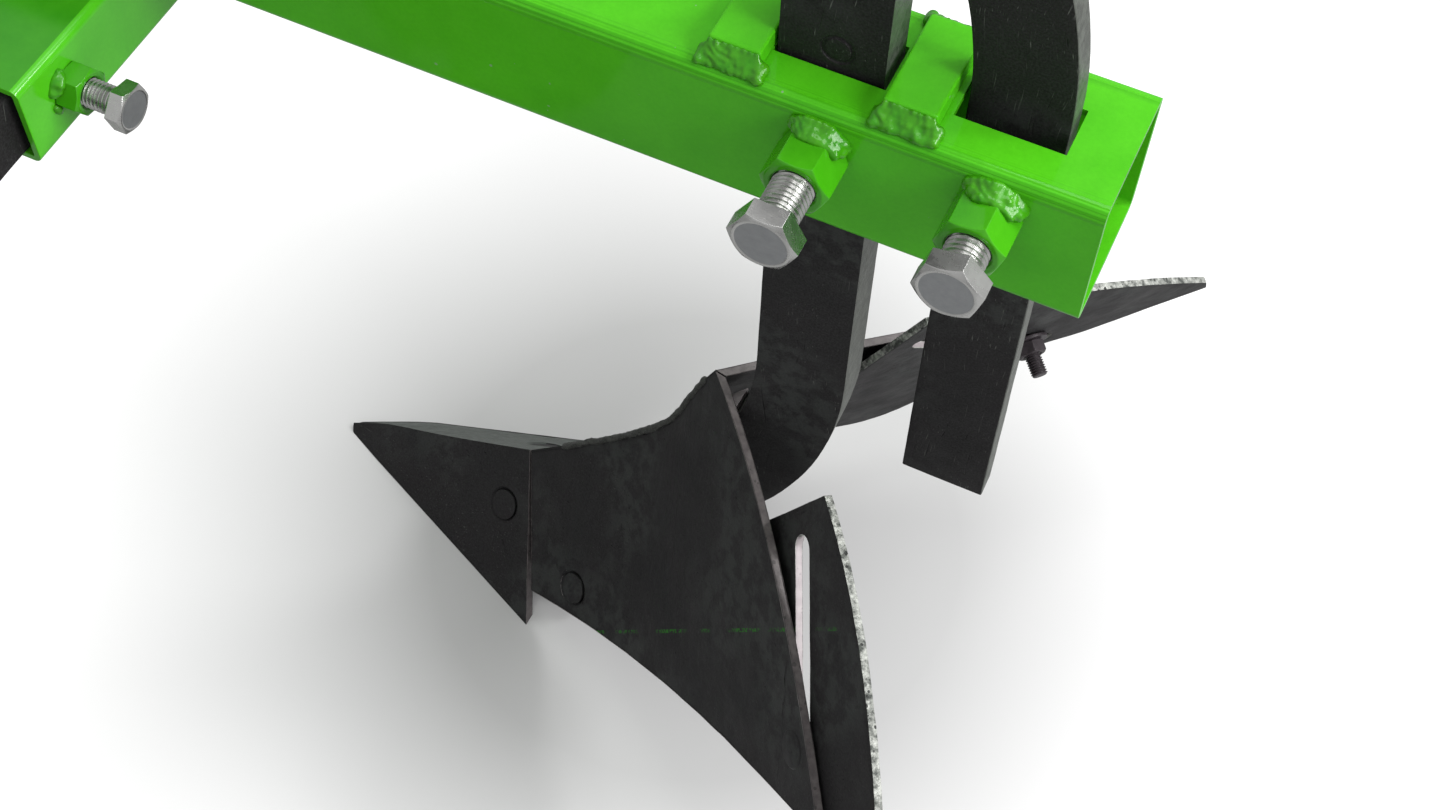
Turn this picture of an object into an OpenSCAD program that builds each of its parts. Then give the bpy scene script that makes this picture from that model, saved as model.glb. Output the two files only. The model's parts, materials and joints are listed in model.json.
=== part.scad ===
// Walk behind ridger: a drawn ridging body on a square beam, with a depth stake and two gauge wheels.
// Origin: middle of the hitch hole, on the beam's axis. +X runs back along the beam, +Y to the
// right of the way it travels, +Z up. Millimetres.

/* [Beam] */
// Distance from the hitch hole to the beam's open rear end
beam_len = 800; // [700:5:1000]
// Distance from the hitch hole to the beam's front end
beam_front = 40; // [36:1:60]
// Outside width and height of the beam
beam_w = 60; // [56:1:70]
// Wall of the beam
beam_wall = 3; // [2.5:0.5:4]
// Outside corner radius of the beam
beam_corner = 5; // [4.5:0.5:8]
// Height of the beam's axis above the ground
axle_to_beam = 399.5; // [385:0.5:430]

/* [Hitch] */
// Diameter of the hole through both lugs
hitch_hole = 17; // [13:0.5:25]
// Thickness of each lug
lug_t = 8; // [6:1:12]
// Length of lug that lies on the beam
lug_lap = 55; // [40:5:80]

/* [Slots and pads] */
// Distance from the beam's rear end forward to the ridger shank
shank_back = 107; // [100:0.5:115]
// Distance from the beam's rear end forward to the depth stake
stake_back = 41; // [39.5:0.1:46]
// Gap in front of and behind the shank in its slot
slot_gap = 1; // [0.5:0.1:1.5]
// Gap in front of and behind the stake in its slot
stake_slot_gap = 1.6; // [0.8:0.1:2]
// Gap beside a bar in its slot, on the clamp bolt's side
bolt_side_gap = 1.4; // [0.8:0.1:2]
// Gap beside a bar in its slot, on the far side
far_side_gap = 0.4; // [0.3:0.1:1]
// Length of each stiffening pad along the beam
pad_l = 20; // [14:1:20]
// Thickness of the pads
pad_t = 8; // [5:0.5:12]
// Width of the pads across the beam
pad_span = 44; // [36:1:48]

/* [Bars] */
// Long side of the shank's section
bar_l = 40; // [36:0.5:42]
// Short side of the shank's section
bar_w = 20; // [16:0.5:22]
// Long side of the stake's section
stake_l = 37.2; // [34:0.1:40]
// Short side of the stake's section
stake_w = 12; // [10:0.5:18]
// Top of the shank above the beam's axis
shank_top = 110; // [70:1:130]
// Start of the shank's bend, above the ground
shank_bend_h = 244.5; // [235:0.5:259]
// Bend radius of the shank, on its centre line
shank_bend_r = 200; // [195:1:215]
// Angle of the shank's bend
shank_bend_a = 42; // [36:1:43]
// Lower end of the stake, below the beam's axis
stake_foot = 205.7; // [120:0.1:230]
// Start of the stake's bend, above the beam's axis
stake_bend_z = 30; // [26:1:50]
// Bend radius of the stake, on its centre line
stake_bend_r = 170; // [150:1:200]
// Angle of the stake's bend
stake_bend_a = 32; // [15:1:33]

/* [Crossbar] */
// Distance from the beam's rear end forward to the crossbar
cross_back = 412.6; // [380:0.5:450]
// Length of the crossbar
cross_len = 209.2; // [204:0.2:260]
// Outside width and height of the crossbar
cross_w = 40; // [38:0.5:44]
// Wall of the crossbar
cross_wall = 3; // [2.5:0.5:3.5]
// Outside corner radius of the crossbar
cross_corner = 3.8; // [3.6:0.1:6]

/* [Arms and wheels] */
// Width and height of the arms' square bar
arm_w = 30; // [24:0.5:30]
// Length of each arm inside the crossbar
arm_inside = 90; // [70:1:92]
// Straight length of each arm outside the crossbar, before its bend
arm_out = 10; // [8:1:40]
// Bend radius of the arms, on the centre line
arm_bend_r = 160; // [140:1:180]
// Diameter of the wheels
wheel_d = 180; // [160:1:200]
// Width of the tyre
tyre_w = 42; // [34:1:44]
// Depth of the tyre's rubber
tyre_t = 22; // [15:1:26]
// Diameter of the axles
axle_d = 16; // [12:1:16]

/* [Clamp bolts] */
// Thread diameter of the two big clamp bolts
big_d = 16; // [14:1:16]
// Width across flats of the big bolts and nuts
big_af = 23; // [22:0.5:24]
// Thread diameter of the two small clamp bolts
small_d = 12; // [10:1:12]
// Width across flats of the small bolts and nuts
small_af = 18; // [17:0.5:19]
// Bare thread between the nut and the head of the shank's clamp bolt
shank_bolt_bare = 17.7; // [14:0.1:25]
// Bare thread between the nut and the head of the stake's clamp bolt
stake_bolt_bare = 10.6; // [8:0.1:20]
// Bare thread between the nut and the head of each arm's clamp bolt
arm_bolt_bare = 13; // [10:0.5:15]
// Height of the shank's clamp bolt above the beam's axis
shank_bolt_z = 9.9; // [5:0.1:12]
// Height of the stake's clamp bolt above the beam's axis
stake_bolt_z = 11.4; // [5:0.1:12]
// Distance of the arms' clamp bolts from the crossbar's ends
arm_bolt_in = 26; // [20:0.5:40]

/* [Ridging body] */
// Turn of the ridging body about the shank, as it is set
body_turn = -2.06; // [-3:0.01:0]
// Distance from the meeting point of the share's cutting edges to the shank's axis
share_nose = 269; // [262:0.5:278]
// Radius of the share's blunt tip
share_tip_r = 5; // [4:0.5:7]
// Height of the rear end of the share's ridge
share_h = 61.2; // [60:0.1:62.5]
// Distance from the rear end of the share's ridge to the shank's axis
share_ridge = 146.3; // [146:0.1:147]
// Distance from the share's rear corners to the shank's axis
share_tail = 116.9; // [116:0.1:118]
// Half width of the share at its rear corners
share_half_w = 61.4; // [61:0.1:62]
// Thickness of the share
share_t = 5; // [4:0.1:5]
// Thickness of the mouldboards
board_t = 4; // [3:0.1:4.2]
// Height of the boards' apex above the ground
apex_h = 203.5; // [202:0.1:205]

/* [Wings] */
// Turn of each wing about the upright axis
wing_turn = 55.8; // [55.4:0.1:56.2]
// Downward slope of each wing
wing_dip = 24.3; // [24:0.1:24.6]
// Lean of each wing about its own length
wing_lean = 69.6; // [69.3:0.1:70]
// Thickness of the wings
wing_t = 4; // [3:0.1:5]
// Width of the slot in each wing
wing_slot_w = 12.3; // [10:0.1:13]
// Thread diameter of the wing bolts
wing_bolt_d = 8; // [6:0.5:8]
// Length of the wing bolts
wing_bolt_l = 29; // [26:1:40]

/* [Hidden] */
$fn = 64;

green = "limegreen";
black = "dimgray";
zinc = "silver";
far = 2000;

// Fits
thread_gap = 0.05;
run_gap = 0.05;
tip_gap = 0.3;
bolt_hole_gap = 0.5;

// Beam and crossbar
cross_z = -beam_w / 2 - cross_w / 2;
cross_x = beam_len - cross_back;
shank_x = beam_len - shank_back;
shank_bend_z = axle_to_beam - shank_bend_h;
stake_x = beam_len - stake_back;
stake_y = (bar_w - stake_w) / 2;
lug_nose = 25;
weld = 5;
weld_gap = 0.02;

// Clamp bolts
nut_h = 19.4;
small_nut_h = 10.3;
big_head_h = 8.8;
small_head_h = 6.6;
bevel = 1.5;
shank_bolt_dx = 4.4;
stake_bolt_dx = 2;
shank_nut_turn = 2;
stake_nut_turn = 11;
shank_head_turn = -1;
stake_head_turn = 13;
arm_head_turn = 47;
arm_nut_turn = 4;
bead = 4;

// Arms: the clamp bolts press them forward, against the crossbar's front wall
arm_shift = -((cross_w - 2 * cross_wall - arm_w) / 2 - 0.3);
arm_drop = 1;
arm_end_y = cross_len / 2 + arm_out + arm_bend_r;
arm_z = cross_z - arm_drop;
axle_z = wheel_d / 2 - axle_to_beam;
arm_below_axle = 25;
arm_start_y = cross_len / 2 - arm_inside;

// Wheels
axle_head_h = 10;
axle_nut_h = 8;
washer_t = 3;
washer_d = 30;
hub_l = 46;
hub_d = 34;
bush_wall = 4;
wheel_side_gap = 0.5;
end_nut_h = 11;
axle_tail = 4;
split_pin_d = 3;
rim_d = wheel_d - 2 * tyre_t;
rim_wall = 4;
disc_t = 6;
wheel_in_y = arm_end_y + arm_w / 2 + axle_nut_h + washer_t + wheel_side_gap;
wheel_y = wheel_in_y + hub_l / 2;
wheel_out_y = wheel_in_y + hub_l + wheel_side_gap;
end_nut_y = wheel_out_y + washer_t;

// Ridging body, in its own frame: x from the shank's axis, y half width, z height above the ground
nose = [-share_nose, 0, 0];
ridge_foot = [-share_ridge, 0, share_h];
share_corner = [-share_tail, share_half_w, 0];
apex = [-43.7, 0, apex_h];
ridge_pull_1 = [-39.6, 0, 160.6];
ridge_pull_2 = [-72.5, 0, 146.8];
top_pull = [18, 60.5, apex_h - 2];
tail_top = [85, 155, 150.5];
low_front = [-120.6, 48.8, 13.5];
low_pull_1 = [-57, 62.1, 31.8];
low_pull_2 = [2.7, 97.3, 86.4];
ridge_steps = 20;
top_steps = 14;
apex_share_of_low = 0.66;
share_n = unit(cross(ridge_foot - nose, share_corner - nose));
share_half_a = atan2(share_half_w, share_nose - share_tail);
share_tip_x = share_tip_r / sin(share_half_a) - share_nose;
seam = 0.4;
centre_gap = 0.15;
front_bolt_up = 0.541;
front_bolt_out = 0.334;
rear_bolt_up = 0.526;
rear_bolt_out = 0.722;
front_bolt = on_share(front_bolt_up, front_bolt_out);
rear_bolt_lift = 4.2;
rear_bolt_lean = [-0.161, 0.027, -0.113];
rear_bolt = on_share(rear_bolt_up, rear_bolt_out) + rear_bolt_lift * share_n;
rear_bolt_n = unit(share_n + rear_bolt_lean);
front_bolt_l = 18;
rear_bolt_l = 24;
plough_head_d = 18.5;
plough_d = 8;
plough_sink = 4;
plough_nut_h = 6.5;
plough_nut_af = 13;
frog_t = 4;
frog_gap = 0.2;
web_w = 10;
frog_back = share_t + frog_gap + frog_t;
rear_nut_gap = 1.6;
web_side = [[-66, 122], [-90, 92], [-126, 48], [-126, 30], [-60, 30], [-37.5, 96]];
plate_front = front_bolt.x - 18;
plate_rear = rear_bolt.x + 18;
plate_side = [[plate_front, 6], [front_bolt.x + 30, 20], [plate_rear, 38],
    [plate_rear, 90], [front_bolt.x + 26, 60], [plate_front, 28]];
gusset_z = 182;
gusset_t = 5;
gusset_plan = [[-31, -9], [-31, 9], [-38, 0]];
ridge_bead = 2.5;
ridge_bead_steps = 7;

// Wings, in their own plane: x along the wing from its inner front corner, y up the wing
wing_corner = [31.8, 50.8, 230.4];
wing_top = [[0, 0], [48, 19], [100, 21], [182, 4]];
wing_tip = [[190, -3.5], [143, -46.8], [121, -57]];
wing_heel = [[91, -126], [84, -146], [57, -146]];
wing_front = [[36, -138], [4, -70]];
wing_bolt_at = [100.9, -44];
slot_end = [19.5, -25];
slot_past_bolt = 12;
board_over_wing = 6.3;
wing_washer_d = 20;
wing_washer_t = 1.6;
wing_nut_h = 6.5;
wing_nut_af = 13;
slot_a = atan2(wing_bolt_at.y - slot_end.y, wing_bolt_at.x - slot_end.x);
slot_l = norm(wing_bolt_at - slot_end) + slot_past_bolt;

function unit(v) = v / norm(v);
// Point of the share's face, given as parts of the ridge and of the cutting edge
function on_share(up, out) = nose + up * (ridge_foot - nose) + out * (share_corner - nose);
function mix(a, b, t) = a + (b - a) * t;
function bend2(a, b, c, t) = mix(mix(a, b, t), mix(b, c, t), t);
function bend3(a, b, c, d, t) = mix(bend2(a, b, c, t), bend2(b, c, d, t), t);

// Upper edge of a board: up the ridge, then back along the top
function board_up(i) = i <= ridge_steps
    ? bend3(ridge_foot + [seam, 0, 0], ridge_pull_1, ridge_pull_2, apex, i / ridge_steps)
    : bend2(apex, top_pull, tail_top, (i - ridge_steps) / top_steps);
// Lower edge of a board, shared out so that the press lines lean as the plate is bent
function board_low_t(i) = i <= ridge_steps
    ? apex_share_of_low * i / ridge_steps
    : mix(apex_share_of_low, 1, (i - ridge_steps) / top_steps);
function board_low(i) = bend3(low_front, low_pull_1, low_pull_2, tail_top - [0, 0, 0.1], board_low_t(i));
board_steps = ridge_steps + top_steps;
function board_mid(i) = (board_up(i) + board_low(i)) / 2;
function clamp_step(i) = max(0, min(board_steps - 1, i));
function board_n(i) = unit(cross(
    board_up(clamp_step(i)) - board_low(clamp_step(i)),
    board_mid(clamp_step(i) + 1) - board_mid(clamp_step(i - 1))));

// 2D: square tube section
module tube_section(w, wall, corner) {
    difference() {
        rounded_square(w, corner);
        rounded_square(w - 2 * wall, corner - wall);
    }
}

module rounded_square(w, r) {
    square([w - 2 * r, w], center = true);
    square([w, w - 2 * r], center = true);
    for (sx = [-1, 1], sy = [-1, 1])
        translate([sx, sy] * (w / 2 - r)) circle(r = r);
}

// 3D helpers
module along(dir) {
    rotate([0, acos(dir.z / norm(dir)), atan2(dir.y, dir.x)]) children();
}

// Right side as drawn, left side its mirror image
module side(s) {
    mirror([0, s < 0 ? 1 : 0, 0]) children();
}

module hex_prism(af, h) {
    cylinder(h = h, d = af / cos(30), $fn = 6);
}

// Hexagon with its top corners turned off to a round face
module hex_head(af, h) {
    intersection() {
        hex_prism(af, h);
        union() {
            cylinder(h = h - bevel, d = 2 * af);
            translate([0, 0, h - bevel]) cylinder(h = bevel, d1 = 2 * af, d2 = af * 0.94);
        }
    }
}

module hex_nut(af, h, hole_d) {
    difference() {
        hex_head(af, h);
        translate([0, 0, -1]) cylinder(h = h + 2, d = hole_d);
    }
}

module ring(d_out, d_in, h) {
    difference() {
        cylinder(h = h, d = d_out);
        translate([0, 0, -1]) cylinder(h = h + 2, d = d_in);
    }
}

// Bar of rectangular section bent forward in the plane of the beam: straight, then an arc
module bent_bar(l, w, r, a) {
    rotate([90, 0, 0])
        translate([-r, 0, 0])
            rotate_extrude(angle = a)
                translate([r, 0]) square([l, w], center = true);
}

// Beam
module slot_cut(x, l) {
    slot_w = bar_w + bolt_side_gap + far_side_gap;
    translate([x, (far_side_gap - bolt_side_gap) / 2, 0]) cube([l, slot_w, far], center = true);
}

module main_beam() color(green) difference() {
    translate([beam_front, 0, 0]) rotate([90, 0, 90])
        linear_extrude(beam_len - beam_front) tube_section(beam_w, beam_wall, beam_corner);
    slot_cut(shank_x, bar_l + 2 * slot_gap);
    slot_cut(stake_x, stake_l + 2 * stake_slot_gap);
    at_shank_bolt() cylinder(h = 4 * beam_wall, d = big_d + bolt_hole_gap, center = true);
    at_stake_bolt() cylinder(h = 4 * beam_wall, d = big_d + bolt_hole_gap, center = true);
}

module hitch_lugs() color(green) for (s = [-1, 1])
    translate([0, 0, s > 0 ? beam_w / 2 : -beam_w / 2 - lug_t]) difference() {
        union() {
            translate([0, -lug_nose, 0]) cube([beam_front + lug_lap, 2 * lug_nose, lug_t]);
            cylinder(h = lug_t, r = lug_nose);
        }
        translate([0, 0, -1]) cylinder(h = lug_t + 2, d = hitch_hole);
    }

module pad(x) {
    translate([x, -pad_span / 2, beam_w / 2]) cube([pad_l, pad_span, pad_t]);
}

front_pad_x = shank_x - bar_l / 2 - slot_gap - pad_l;
rear_pad_x = shank_x + bar_l / 2 + 3.5;

module front_pad() color(green) pad(front_pad_x);

module rear_pad() color(green) pad(rear_pad_x);

// Weld fillet of triangular section, lying along +X
module fillet(l) {
    rotate([90, 0, 90]) linear_extrude(l)
        polygon([[weld_gap, weld_gap], [weld, weld_gap], [weld_gap, weld]]);
}

module pad_welds() color(green)
    for (x = [front_pad_x, rear_pad_x], s = [-1, 1]) side(s)
        translate([x + 1, pad_span / 2, beam_w / 2]) fillet(pad_l - 2);

module crossbar() color(green) difference() {
    translate([cross_x, cross_len / 2, cross_z]) rotate([90, 0, 0])
        linear_extrude(cross_len) tube_section(cross_w, cross_wall, cross_corner);
    for (s = [-1, 1])
        translate([cross_x + cross_w / 2, s * (cross_len / 2 - arm_bolt_in), cross_z])
            rotate([0, 90, 0])
                cylinder(h = 4 * cross_wall, d = small_d + bolt_hole_gap, center = true);
}

// Beads in the corner between the beam's sides and the crossbar's top
module crossbar_welds() color(green)
    for (s = [-1, 1]) side(s)
        translate([cross_x - cross_w / 2 + cross_corner, beam_w / 2 - beam_corner, -beam_w / 2])
            rotate([90, 0, 90]) linear_extrude(cross_w - 2 * cross_corner) difference() {
                translate([weld_gap, weld_gap]) square([beam_corner + weld, beam_corner + weld / 2]);
                translate([0, beam_corner]) circle(r = beam_corner + weld_gap);
                translate([-1, beam_corner]) square([beam_corner + weld_gap + 1, weld]);
                translate([beam_corner + weld, beam_corner + weld]) circle(r = weld);
            }

// A clamp bolt's frame: origin on the wall's outer face, +Z out of the wall
module on_beam_side(x, z) {
    translate([x, -beam_w / 2, z]) rotate([90, 0, 0]) children();
}

module at_shank_bolt() {
    on_beam_side(shank_x + shank_bolt_dx, shank_bolt_z) children();
}

module at_stake_bolt() {
    on_beam_side(stake_x + stake_bolt_dx, stake_bolt_z) children();
}

module on_crossbar_back(s) {
    translate([cross_x + cross_w / 2, s * (cross_len / 2 - arm_bolt_in), cross_z])
        rotate([0, 90, 0]) rotate([0, 0, 90]) children();
}

module clamp_bolt(d, af, head_h, reach, neck, turn) {
    translate([0, 0, -reach]) cylinder(h = reach + neck, d = d);
    translate([0, 0, neck]) rotate([0, 0, turn]) hex_head(af, head_h);
}

shank_reach = beam_w / 2 - bar_w / 2 - tip_gap;
stake_reach = beam_w / 2 + stake_y - stake_w / 2 - tip_gap;
small_reach = cross_w / 2 - arm_w / 2 - arm_shift - tip_gap;

module shank_clamp_bolt() color(zinc) at_shank_bolt()
    clamp_bolt(big_d, big_af, big_head_h, shank_reach, nut_h + shank_bolt_bare, shank_head_turn);

module stake_clamp_bolt() color(zinc) at_stake_bolt()
    clamp_bolt(big_d, big_af, big_head_h, stake_reach, nut_h + stake_bolt_bare, stake_head_turn);

module arm_clamp_bolt(s) color(zinc) on_crossbar_back(s)
    clamp_bolt(small_d, small_af, small_head_h, small_reach, small_nut_h + arm_bolt_bare, arm_head_turn);

module left_arm_clamp_bolt() arm_clamp_bolt(-1);

module right_arm_clamp_bolt() arm_clamp_bolt(1);

module shank_nut() color(green) at_shank_bolt()
    rotate([0, 0, shank_nut_turn]) hex_nut(big_af, nut_h, big_d + 2 * thread_gap);

module stake_nut() color(green) at_stake_bolt()
    rotate([0, 0, stake_nut_turn]) hex_nut(big_af, nut_h, big_d + 2 * thread_gap);

module arm_nut(s) color(green) on_crossbar_back(s)
    rotate([0, 0, arm_nut_turn]) hex_nut(small_af, small_nut_h, small_d + 2 * thread_gap);

module left_arm_nut() arm_nut(-1);

module right_arm_nut() arm_nut(1);

// Bead round the upper flats of a welded nut
module nut_bead(af) {
    r = af / 2 / cos(30) + weld_gap;
    rotate_extrude(angle = 180)
        polygon([[r, weld_gap], [r + bead, weld_gap], [r, bead]]);
}

module nut_welds() color(green) {
    at_shank_bolt() nut_bead(big_af);
    at_stake_bolt() nut_bead(big_af);
    for (s = [-1, 1]) on_crossbar_back(s) nut_bead(small_af);
}

// Shank and stake
module ridger_shank() color(black) translate([shank_x, 0, 0]) {
    translate([-bar_l / 2, -bar_w / 2, -shank_bend_z])
        cube([bar_l, bar_w, shank_bend_z + shank_top]);
    translate([0, 0, -shank_bend_z]) mirror([0, 0, 1])
        bent_bar(bar_l, bar_w, shank_bend_r, shank_bend_a);
}

module depth_stake() color(black) translate([stake_x, stake_y, 0]) {
    translate([-stake_l / 2, -stake_w / 2, -stake_foot])
        cube([stake_l, stake_w, stake_foot + stake_bend_z]);
    translate([0, 0, stake_bend_z]) bent_bar(stake_l, stake_w, stake_bend_r, stake_bend_a);
}

// Ridging body
module body_frame() {
    translate([shank_x, 0, -axle_to_beam]) rotate([0, 0, body_turn]) children();
}

// Space between two depths below the share's face, on the right side of the centre plane
module share_layer(from, to, outline, inner_y) {
    intersection() {
        translate(nose) along(share_n)
            translate([-far / 2, -far / 2, -to]) cube([far, far, to - from]);
        translate([0, far, 0]) rotate([90, 0, 0]) linear_extrude(far - inner_y) polygon(outline);
    }
}

module share() color(black) body_frame() difference() {
    intersection() {
        for (s = [-1, 1]) side(s)
            share_layer(0, share_t, [[nose.x, 0], [ridge_foot.x, share_h], [share_corner.x, 0]], 0);
        blunt_tip();
    }
    at_front_bolts() plough_hole();
}

module at_front_bolts() for (s = [-1, 1]) side(s) translate(front_bolt) along(share_n) children();

module at_rear_bolts() for (s = [-1, 1]) side(s) translate(rear_bolt) along(rear_bolt_n) children();

// Space behind an upright round front that touches both cutting edges
module blunt_tip() translate([share_tip_x, 0, -far / 2]) {
    cylinder(h = far, r = share_tip_r);
    translate([-share_tip_r * sin(share_half_a), -far / 2, 0]) cube([far, far, far]);
}

module plough_hole() {
    translate([0, 0, -far / 8]) cylinder(h = far / 8, d = plough_d + 2 * thread_gap);
    translate([0, 0, -plough_sink]) cylinder(h = plough_sink, d1 = plough_d, d2 = plough_head_d + 0.1);
    cylinder(h = bevel, d = plough_head_d + 0.1);
}

// Flat-headed plough bolt, flush with the face it is sunk in
module plough_bolt(d, head_d, sink, l) {
    translate([0, 0, -l]) cylinder(h = l - sink / 2, d = d);
    translate([0, 0, -sink]) cylinder(h = sink, d1 = d, d2 = head_d);
}

// Curved plate ruled between the upper and lower edges, then trimmed at the centre plane
module board_plate() {
    outer = [for (i = [0 : board_steps]) each [board_up(i), board_low(i)]];
    inner = [for (i = [0 : board_steps])
        each [board_up(i) - board_t * board_n(i), board_low(i) - board_t * board_n(i)]];
    n = 2 * (board_steps + 1);
    quads = [for (i = [0 : board_steps - 1]) each let (a = 2 * i, b = a + 1, c = a + 3, d = a + 2) [
        [a, b, c, d],
        [d + n, c + n, b + n, a + n],
        [a, d, d + n, a + n],
        [b, b + n, c + n, c]]];
    ends = [[0, n, n + 1, 1], [n - 2, n - 1, 2 * n - 1, 2 * n - 2]];
    faces = [for (q = concat(quads, ends)) each [[q[0], q[1], q[2]], [q[0], q[2], q[3]]]];
    intersection() {
        polyhedron(points = concat(outer, inner), faces = faces);
        translate([-far / 2, centre_gap, -far / 2]) cube([far, far, far]);
    }
}

module mouldboard(s) color(black) body_frame() side(s) difference() {
    board_plate();
    translate(rear_bolt) along(rear_bolt_n) plough_hole();
    wing_frame() translate([wing_bolt_at.x, wing_bolt_at.y, board_over_wing]) wing_bolt_hole();
}

module left_mouldboard() mouldboard(-1);

module right_mouldboard() mouldboard(1);

// Inner bracket: a web below the ridge and a plate behind each side of the share
module body_frog() color(black) body_frame() difference() {
    union() {
        translate([0, web_w / 2, 0]) rotate([90, 0, 0]) linear_extrude(web_w)
            polygon(web_side);
        for (s = [-1, 1]) side(s)
            share_layer(share_t + frog_gap, share_t + frog_gap + frog_t, plate_side, web_w / 2 - 1);
    }
    at_front_bolts() frog_hole();
    at_rear_bolts() frog_hole();
}

module frog_hole() {
    translate([0, 0, -far / 8]) cylinder(h = far / 8, d = plough_d + bolt_hole_gap);
}

// Small filler plate in the corner between the boards, in front of the shank
module apex_gusset() color(black) body_frame()
    translate([0, 0, gusset_z]) linear_extrude(gusset_t) polygon(gusset_plan);

module ridge_weld() color(black) body_frame()
    for (i = [0 : ridge_bead_steps - 2]) hull() for (k = [i, i + 1])
        translate(bend3(ridge_foot, ridge_pull_1, ridge_pull_2, apex, (k + 0.5) / ridge_bead_steps)
                + [0.4, 0, -0.5])
            sphere(r = ridge_bead, $fn = 16);

module share_bolts() color(black) body_frame() {
    at_front_bolts() plough_bolt(plough_d, plough_head_d, plough_sink, front_bolt_l);
    at_rear_bolts() plough_bolt(plough_d, plough_head_d, plough_sink, rear_bolt_l);
}

module share_nuts() color(black) body_frame() {
    at_front_bolts() plough_nut(frog_back);
    at_rear_bolts() plough_nut((rear_bolt_lift + frog_back) / (share_n * rear_bolt_n) + rear_nut_gap);
}

module plough_nut(depth) {
    translate([0, 0, -depth - plough_nut_h])
        hex_nut(plough_nut_af, plough_nut_h, plough_d + 2 * thread_gap);
}

// Wings. Right side: origin at the inner front corner, +Z out of the outer face
module wing_frame() {
    translate(wing_corner) mirror([0, 1, 0]) rotate([wing_lean, wing_dip, -wing_turn]) children();
}

module wing_outline() {
    polygon([
        for (i = [0 : 10]) bend3(wing_top[0], wing_top[1], wing_top[2], wing_top[3], i / 10),
        each wing_tip,
        for (i = [0 : 6]) bend2(wing_heel[0], wing_heel[1], wing_heel[2], i / 6),
        each wing_front]);
}

module slot_outline(l, w) {
    for (x = [0, l]) translate([x, 0]) circle(d = w);
    translate([0, -w / 2]) square([l, w]);
}

module wing(s) color(black) body_frame() side(s) wing_frame()
    translate([0, 0, -wing_t]) linear_extrude(wing_t) difference() {
        wing_outline();
        translate(slot_end) rotate(slot_a) slot_outline(slot_l, wing_slot_w);
    }

module left_wing() wing(-1);

module right_wing() wing(1);

module wing_bolt_hole() {
    translate([0, 0, -board_t - 2]) cylinder(h = board_t + 2, d = wing_bolt_d + 2 * thread_gap);
    translate([0, 0, -plough_sink + 0.5])
        cylinder(h = plough_sink - 0.5, d1 = wing_bolt_d, d2 = plough_head_d + 0.1);
    cylinder(h = bevel, d = plough_head_d + 0.1);
}

module at_wing_bolt(s, z) {
    body_frame() side(s) wing_frame() translate([wing_bolt_at.x, wing_bolt_at.y, z]) children();
}

module wing_bolt(s) color(black) at_wing_bolt(s, board_over_wing)
    plough_bolt(wing_bolt_d, plough_head_d, plough_sink - 0.5, wing_bolt_l);

module left_wing_bolt() wing_bolt(-1);

module right_wing_bolt() wing_bolt(1);

module wing_washer(s) color(black) at_wing_bolt(s, -wing_t - tip_gap - wing_washer_t)
    ring(wing_washer_d, wing_bolt_d + 2 * thread_gap, wing_washer_t);

module left_wing_washer() wing_washer(-1);

module right_wing_washer() wing_washer(1);

module wing_nut(s) color(black)
    at_wing_bolt(s, -wing_t - tip_gap - wing_washer_t - wing_nut_h)
        hex_nut(wing_nut_af, wing_nut_h, wing_bolt_d + 2 * thread_gap);

module left_wing_nut() wing_nut(-1);

module right_wing_nut() wing_nut(1);

// Arms, drawn for the right side
module arm(s) color(black) side(s) difference() {
    translate([cross_x + arm_shift, 0, 0]) {
        translate([-arm_w / 2, arm_start_y, arm_z - arm_w / 2])
            cube([arm_w, arm_inside + arm_out, arm_w]);
        translate([0, cross_len / 2 + arm_out, arm_z - arm_bend_r]) rotate([90, 0, 90])
            rotate_extrude(angle = 90) translate([arm_bend_r, 0]) square(arm_w, center = true);
        translate([-arm_w / 2, arm_end_y - arm_w / 2, axle_z - arm_below_axle])
            cube([arm_w, arm_w, arm_z - arm_bend_r - axle_z + arm_below_axle]);
    }
    at_axle(arm_end_y) cylinder(h = 2 * arm_w, d = axle_d + 2 * thread_gap, center = true);
}

// Frame of an axle: +Z outward along it
module at_axle(y) {
    translate([cross_x + arm_shift, y, axle_z]) rotate([-90, 0, 0]) children();
}

module left_arm() arm(-1);

module right_arm() arm(1);

module axle(s) color(zinc) side(s) difference() {
    union() {
        at_axle(arm_end_y - arm_w / 2)
            cylinder(h = end_nut_y + end_nut_h + axle_tail - arm_end_y + arm_w / 2, d = axle_d);
        at_axle(arm_end_y - arm_w / 2 - axle_head_h) hex_prism(big_af, axle_head_h);
    }
    split_pin_hole(run_gap);
}

module left_axle() axle(-1);

module right_axle() axle(1);

module split_pin_hole(gap) {
    at_axle(end_nut_y + end_nut_h - split_pin_d) rotate([90, 0, 0])
        cylinder(h = 2 * big_af, d = split_pin_d + 2 * gap, center = true);
}

module axle_nut(s) color(zinc) side(s) at_axle(arm_end_y + arm_w / 2)
    hex_nut(big_af, axle_nut_h, axle_d + 2 * thread_gap);

module left_axle_nut() axle_nut(-1);

module right_axle_nut() axle_nut(1);

module wheel_washers(s) color(zinc) side(s) for (y = [arm_end_y + arm_w / 2 + axle_nut_h, wheel_out_y])
    at_axle(y) ring(washer_d, axle_d + 2 * thread_gap, washer_t);

module left_wheel_washers() wheel_washers(-1);

module right_wheel_washers() wheel_washers(1);

module end_nut(s) color(zinc) side(s) difference() {
    at_axle(end_nut_y) hex_nut(big_af, end_nut_h, axle_d + 2 * thread_gap);
    split_pin_hole(run_gap);
}

module left_end_nut() end_nut(-1);

module right_end_nut() end_nut(1);

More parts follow.
